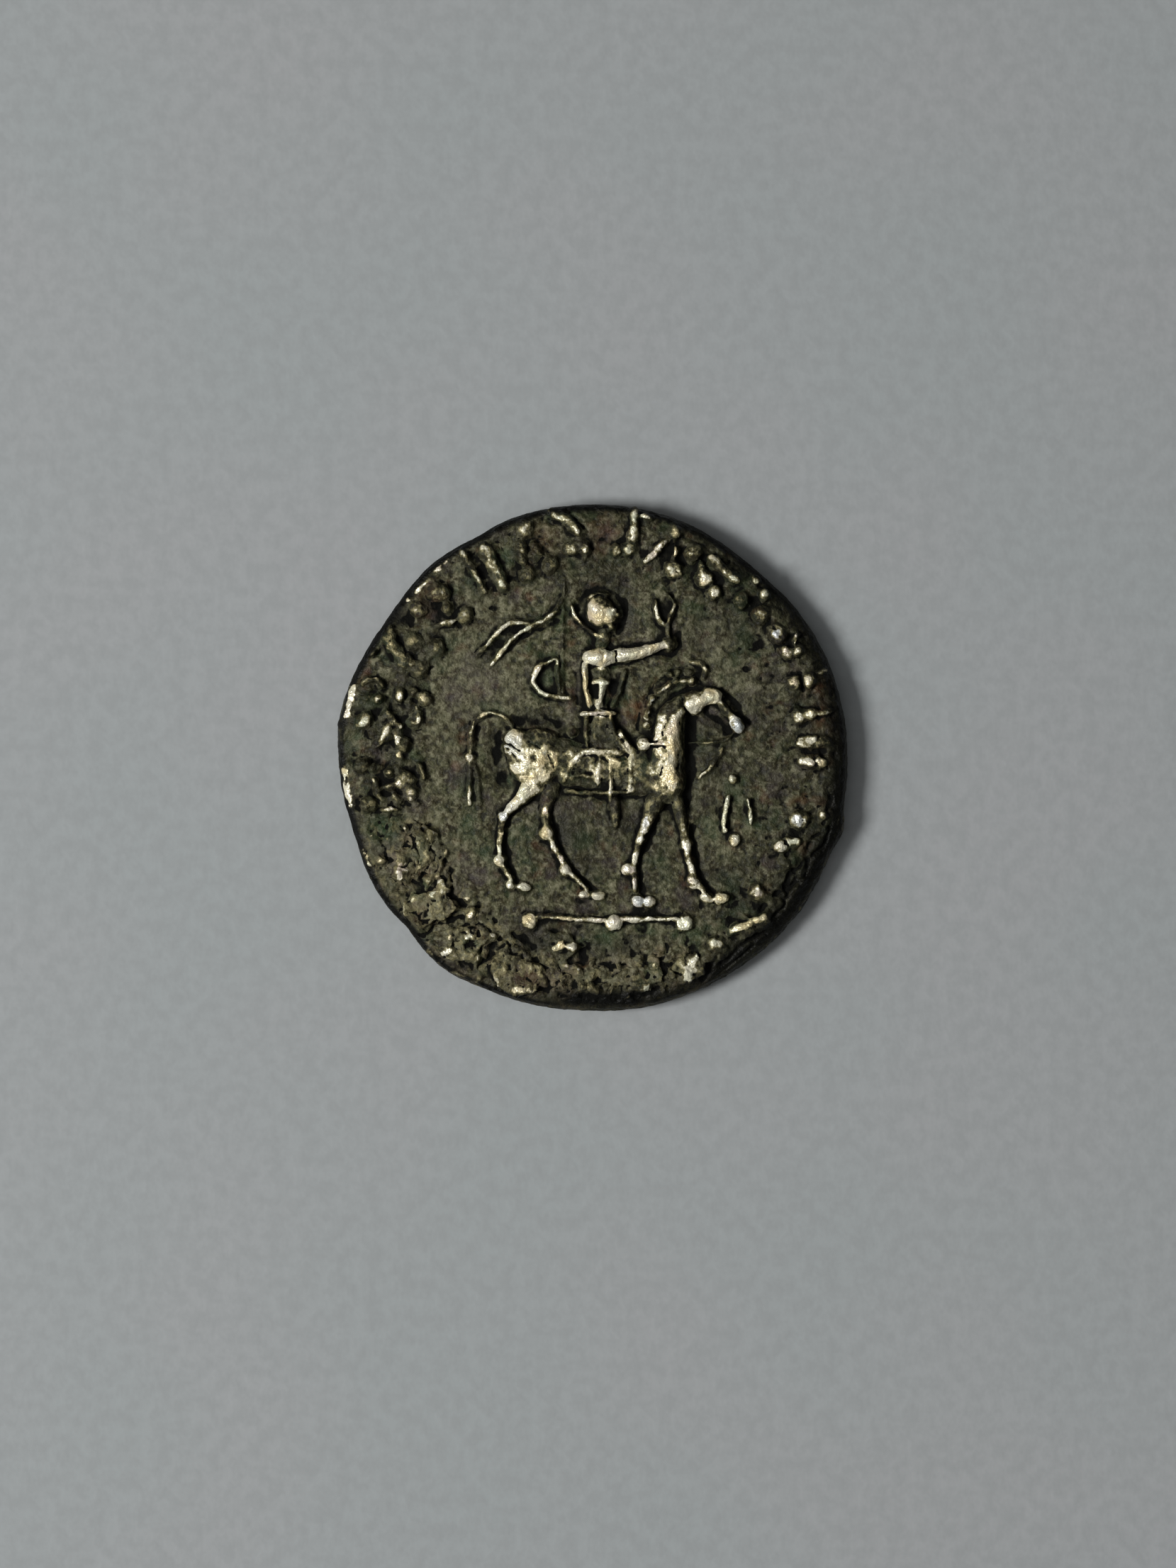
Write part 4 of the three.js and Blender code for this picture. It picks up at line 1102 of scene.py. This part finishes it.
silver = {
    "olive": (0.082, 0.082, 0.04, 1), "umber": (0.04, 0.033, 0.015, 1),
    "ash": (0.19, 0.18, 0.11, 1), "green": (0.03, 0.055, 0.022, 1),
    "violet": (0.055, 0.042, 0.042, 1), "copper": (0.13, 0.055, 0.025, 1),
    # the near-black and the soot serve both for dark toning and for painted shade
    "dirtAndShade": (0.003, 0.003, 0.002, 1), "sootAndShade": (0.018, 0.018, 0.012, 1),
    "sand": (0.2, 0.165, 0.1, 1),
    "bright": (0.9, 0.85, 0.65, 1), "steel": (0.6, 0.66, 0.7, 1),
    "golden": (0.82, 0.66, 0.34, 1), "mossy": (0.72, 0.74, 0.52, 1),
    "peach": (0.84, 0.7, 0.58, 1), "tarnish": (0.25, 0.22, 0.11, 1),
    "specular": 0.14, "bump": 0.00008,
}

# Patches of the toning: size in millimetres, detail, roughness, shift
patches = {"blotch": (1.1, 2, 0.6), "fleck": (0.42, 3, 0.6, 0.01), "speck": (0.25, 3, 0.6, 0.02),
           "grit": (0.17, 2, 0.55, 0.04), "tint": (1.0, 2, 0.5, 0.03), "rust": (0.7, 2, 0.6, 0.05)}


def tonedSilver():
    finish = Finish("tonedSilver")
    fine, broad, standing, wornAndGlints, crusted, openField = (
        finish.value(name)
        for name in ("fineHollow", "broadHollow", "standing", "wornAndGlints", "crusted", "open"))
    blotch, fleck, speck, grit, tint, rust = (finish.noise(*facts) for facts in patches.values())
    patina = finish.mix(fleck.ramp(0.36, 0.62), silver["umber"], silver["olive"])
    patina = finish.layered(patina, [
        (grit.ramp(0.44, 0.66) * speck.ramp(0.35, 0.6), "ash"),
        ((1 - grit).ramp(0.44, 0.66) * (1 - speck).ramp(0.35, 0.6), "sootAndShade"),
        (tint.ramp(0.54, 0.7) * 0.55, "green"),
        ((1 - tint).ramp(0.54, 0.7) * 0.55, "violet"),
        (rust.ramp(0.58, 0.74) * 0.35, "copper"),
        (crusted * (1 - rust).ramp(0.5, 0.66) * 0.4, "ash"),
        (finish.value("greenStain"), "green"),
        (finish.value("violetStain"), "violet"),
        (finish.value("copperStain") * speck.ramp(0.3, 0.6), "copper"),
        (finish.value("darkStainAndShade"), "sootAndShade"),
        (finish.value("paleStain") * fleck.ramp(0.3, 0.6) * (0.45 + 0.7 * grit.ramp(0.4, 0.6)),
         "ash"),
        (crusted * rust.ramp(0.44, 0.6) * fleck.ramp(0.4, 0.6) * 0.75, "sand"),
        (crusted * (1 - speck).ramp(0.52, 0.66) * 0.6, "tarnish"),
        # darker patina on and round the relief, away from the open field, partly painted shade
        ((1 - openField) * (1 - crusted) * 0.45, "sootAndShade"),
    ])
    crest = (broad * -1).ramp(-0.01, 0.05) * 0.5 + standing.ramp(0.03, 0.2) * 0.8
    shine = crest * wornAndGlints * (0.5 + 0.8 * fleck.ramp(0.32, 0.6))
    shine = shine * (0.5 + 0.85 * speck.ramp(0.3, 0.66))
    shine = shine.ramp(0.1, 0.78)
    metal = finish.layered(silver["bright"], [
        (blotch.ramp(0.5, 0.64) * 0.8, "golden"),
        (tint.ramp(0.52, 0.66) * 0.6, "mossy"),
        ((1 - tint).ramp(0.54, 0.68) * 0.7, "peach"),
        (finish.value("goldTone") * speck.ramp(0.3, 0.55), "golden"),
        (finish.value("coldTone"), "steel"),
    ])
    colour = finish.mix(shine.ramp(0.02, 0.35), patina, silver["tarnish"])
    colour = finish.mix(shine.ramp(0.3, 0.8), colour, metal)
    # Hollows and places below the field turn near-black: dark patina in them, and painted shade
    # round the relief
    pits = 1 - openField * 0.6
    grimeAndShade = (fine.ramp(0.013, 0.027) + broad.ramp(0.014, 0.046) * 0.85) * pits
    grimeAndShade = (grimeAndShade + (standing * -1).ramp(0.03, 0.1) * 0.5).ramp(0.1, 0.9)
    colour = finish.mix(grimeAndShade, colour, silver["dirtAndShade"])
    # painted shade and dirt at the rim, kept off the bright metal
    colour = finish.mix(finish.value("edgeShadeAndDirt") * (1 - shine), colour, silver["dirtAndShade"])
    finish.set(Base_Color=colour, Metallic=0.05 + shine * 0.3,
               Roughness=0.5 - shine * 0.18 + grimeAndShade * 0.4,
               Normal=finish.bump(speck + grit * 0.8, 1.0, silver["bump"]))
    finish.shader.inputs["Specular IOR Level"].default_value = silver["specular"]
    return finish.material


coin.data.materials.clear()
coin.data.materials.append(tonedSilver())
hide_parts("drachm")
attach(coin, "root")
print("coin toned")

# Paper, light and camera. The photo is in pixels, and its scale in pixels to a millimetre
photo = {"width": 1659, "height": 2212, "scale": 46.2, "coin": (836, 1069)}
studio = {
    "paper": (0.365, 0.376, 0.378, 1), "clouded": (0.35, 0.375, 0.375, 1),
    "fibres": (0.31, 0.325, 0.325, 1), "paperSize": 0.5,
    "world": 0.04, "worldColour": (0.8, 0.84, 0.88, 1),
    "key": {"aim": (-0.215, -0.03, 0.25), "size": 0.1, "power": 0.92},
    "over": {"aim": (-0.1, -0.02, 0.5), "size": 0.6, "power": 0.62},
    "cameraHeight": 0.25,
}


def makePaper():
    bpy.ops.mesh.primitive_plane_add(size=studio["paperSize"])
    paper = bpy.context.object
    paper.name = "paper"
    finish = Finish("palePaper")
    fibre = finish.noise(0.5, 2, 0.6)
    cloud = finish.noise(9, 1, 0.5)
    tone = finish.mix(cloud.ramp(0.3, 0.7), studio["clouded"], studio["paper"])
    tone = finish.mix(fibre.ramp(0.3, 0.7) * 0.6, tone, studio["fibres"])
    finish.set(Base_Color=tone, Roughness=0.85, Normal=finish.bump(fibre, 0.3, 0.00006))
    paper.data.materials.append(finish.material)


def makeLight(name):
    facts = studio[name]
    bpy.ops.object.light_add(type="AREA", location=facts["aim"])
    light = bpy.context.object
    light.name = name
    light.data.size = facts["size"]
    light.data.energy = facts["power"]
    light.rotation_euler = Vector(facts["aim"]).to_track_quat("Z", "Y").to_euler()


def makeCamera():
    offset = ((photo["width"] / 2 - photo["coin"][0]) / photo["scale"],
              (photo["coin"][1] - photo["height"] / 2) / photo["scale"])
    level = (flan["upperField"] + 0.1) / 1000
    bpy.ops.object.camera_add(
        location=(offset[0] / 1000, offset[1] / 1000, level + studio["cameraHeight"]))
    camera = bpy.context.object
    camera.data.sensor_width = 36
    seen = photo["height"] / photo["scale"] / 1000
    camera.data.lens = camera.data.sensor_width * studio["cameraHeight"] / seen
    camera.data.clip_start = 0.01
    camera.data.clip_end = 10
    bpy.context.scene.camera = camera


makePaper()
makeLight("key")
makeLight("over")
makeCamera()
world = bpy.data.worlds.new("softRoom")
world.use_nodes = True
backdrop = world.node_tree.nodes["Background"]
backdrop.inputs["Color"].default_value = studio["worldColour"]
backdrop.inputs["Strength"].default_value = studio["world"]
bpy.context.scene.world = world
bpy.context.scene.view_settings.view_transform = "Standard"
print("paper, lights and camera placed")
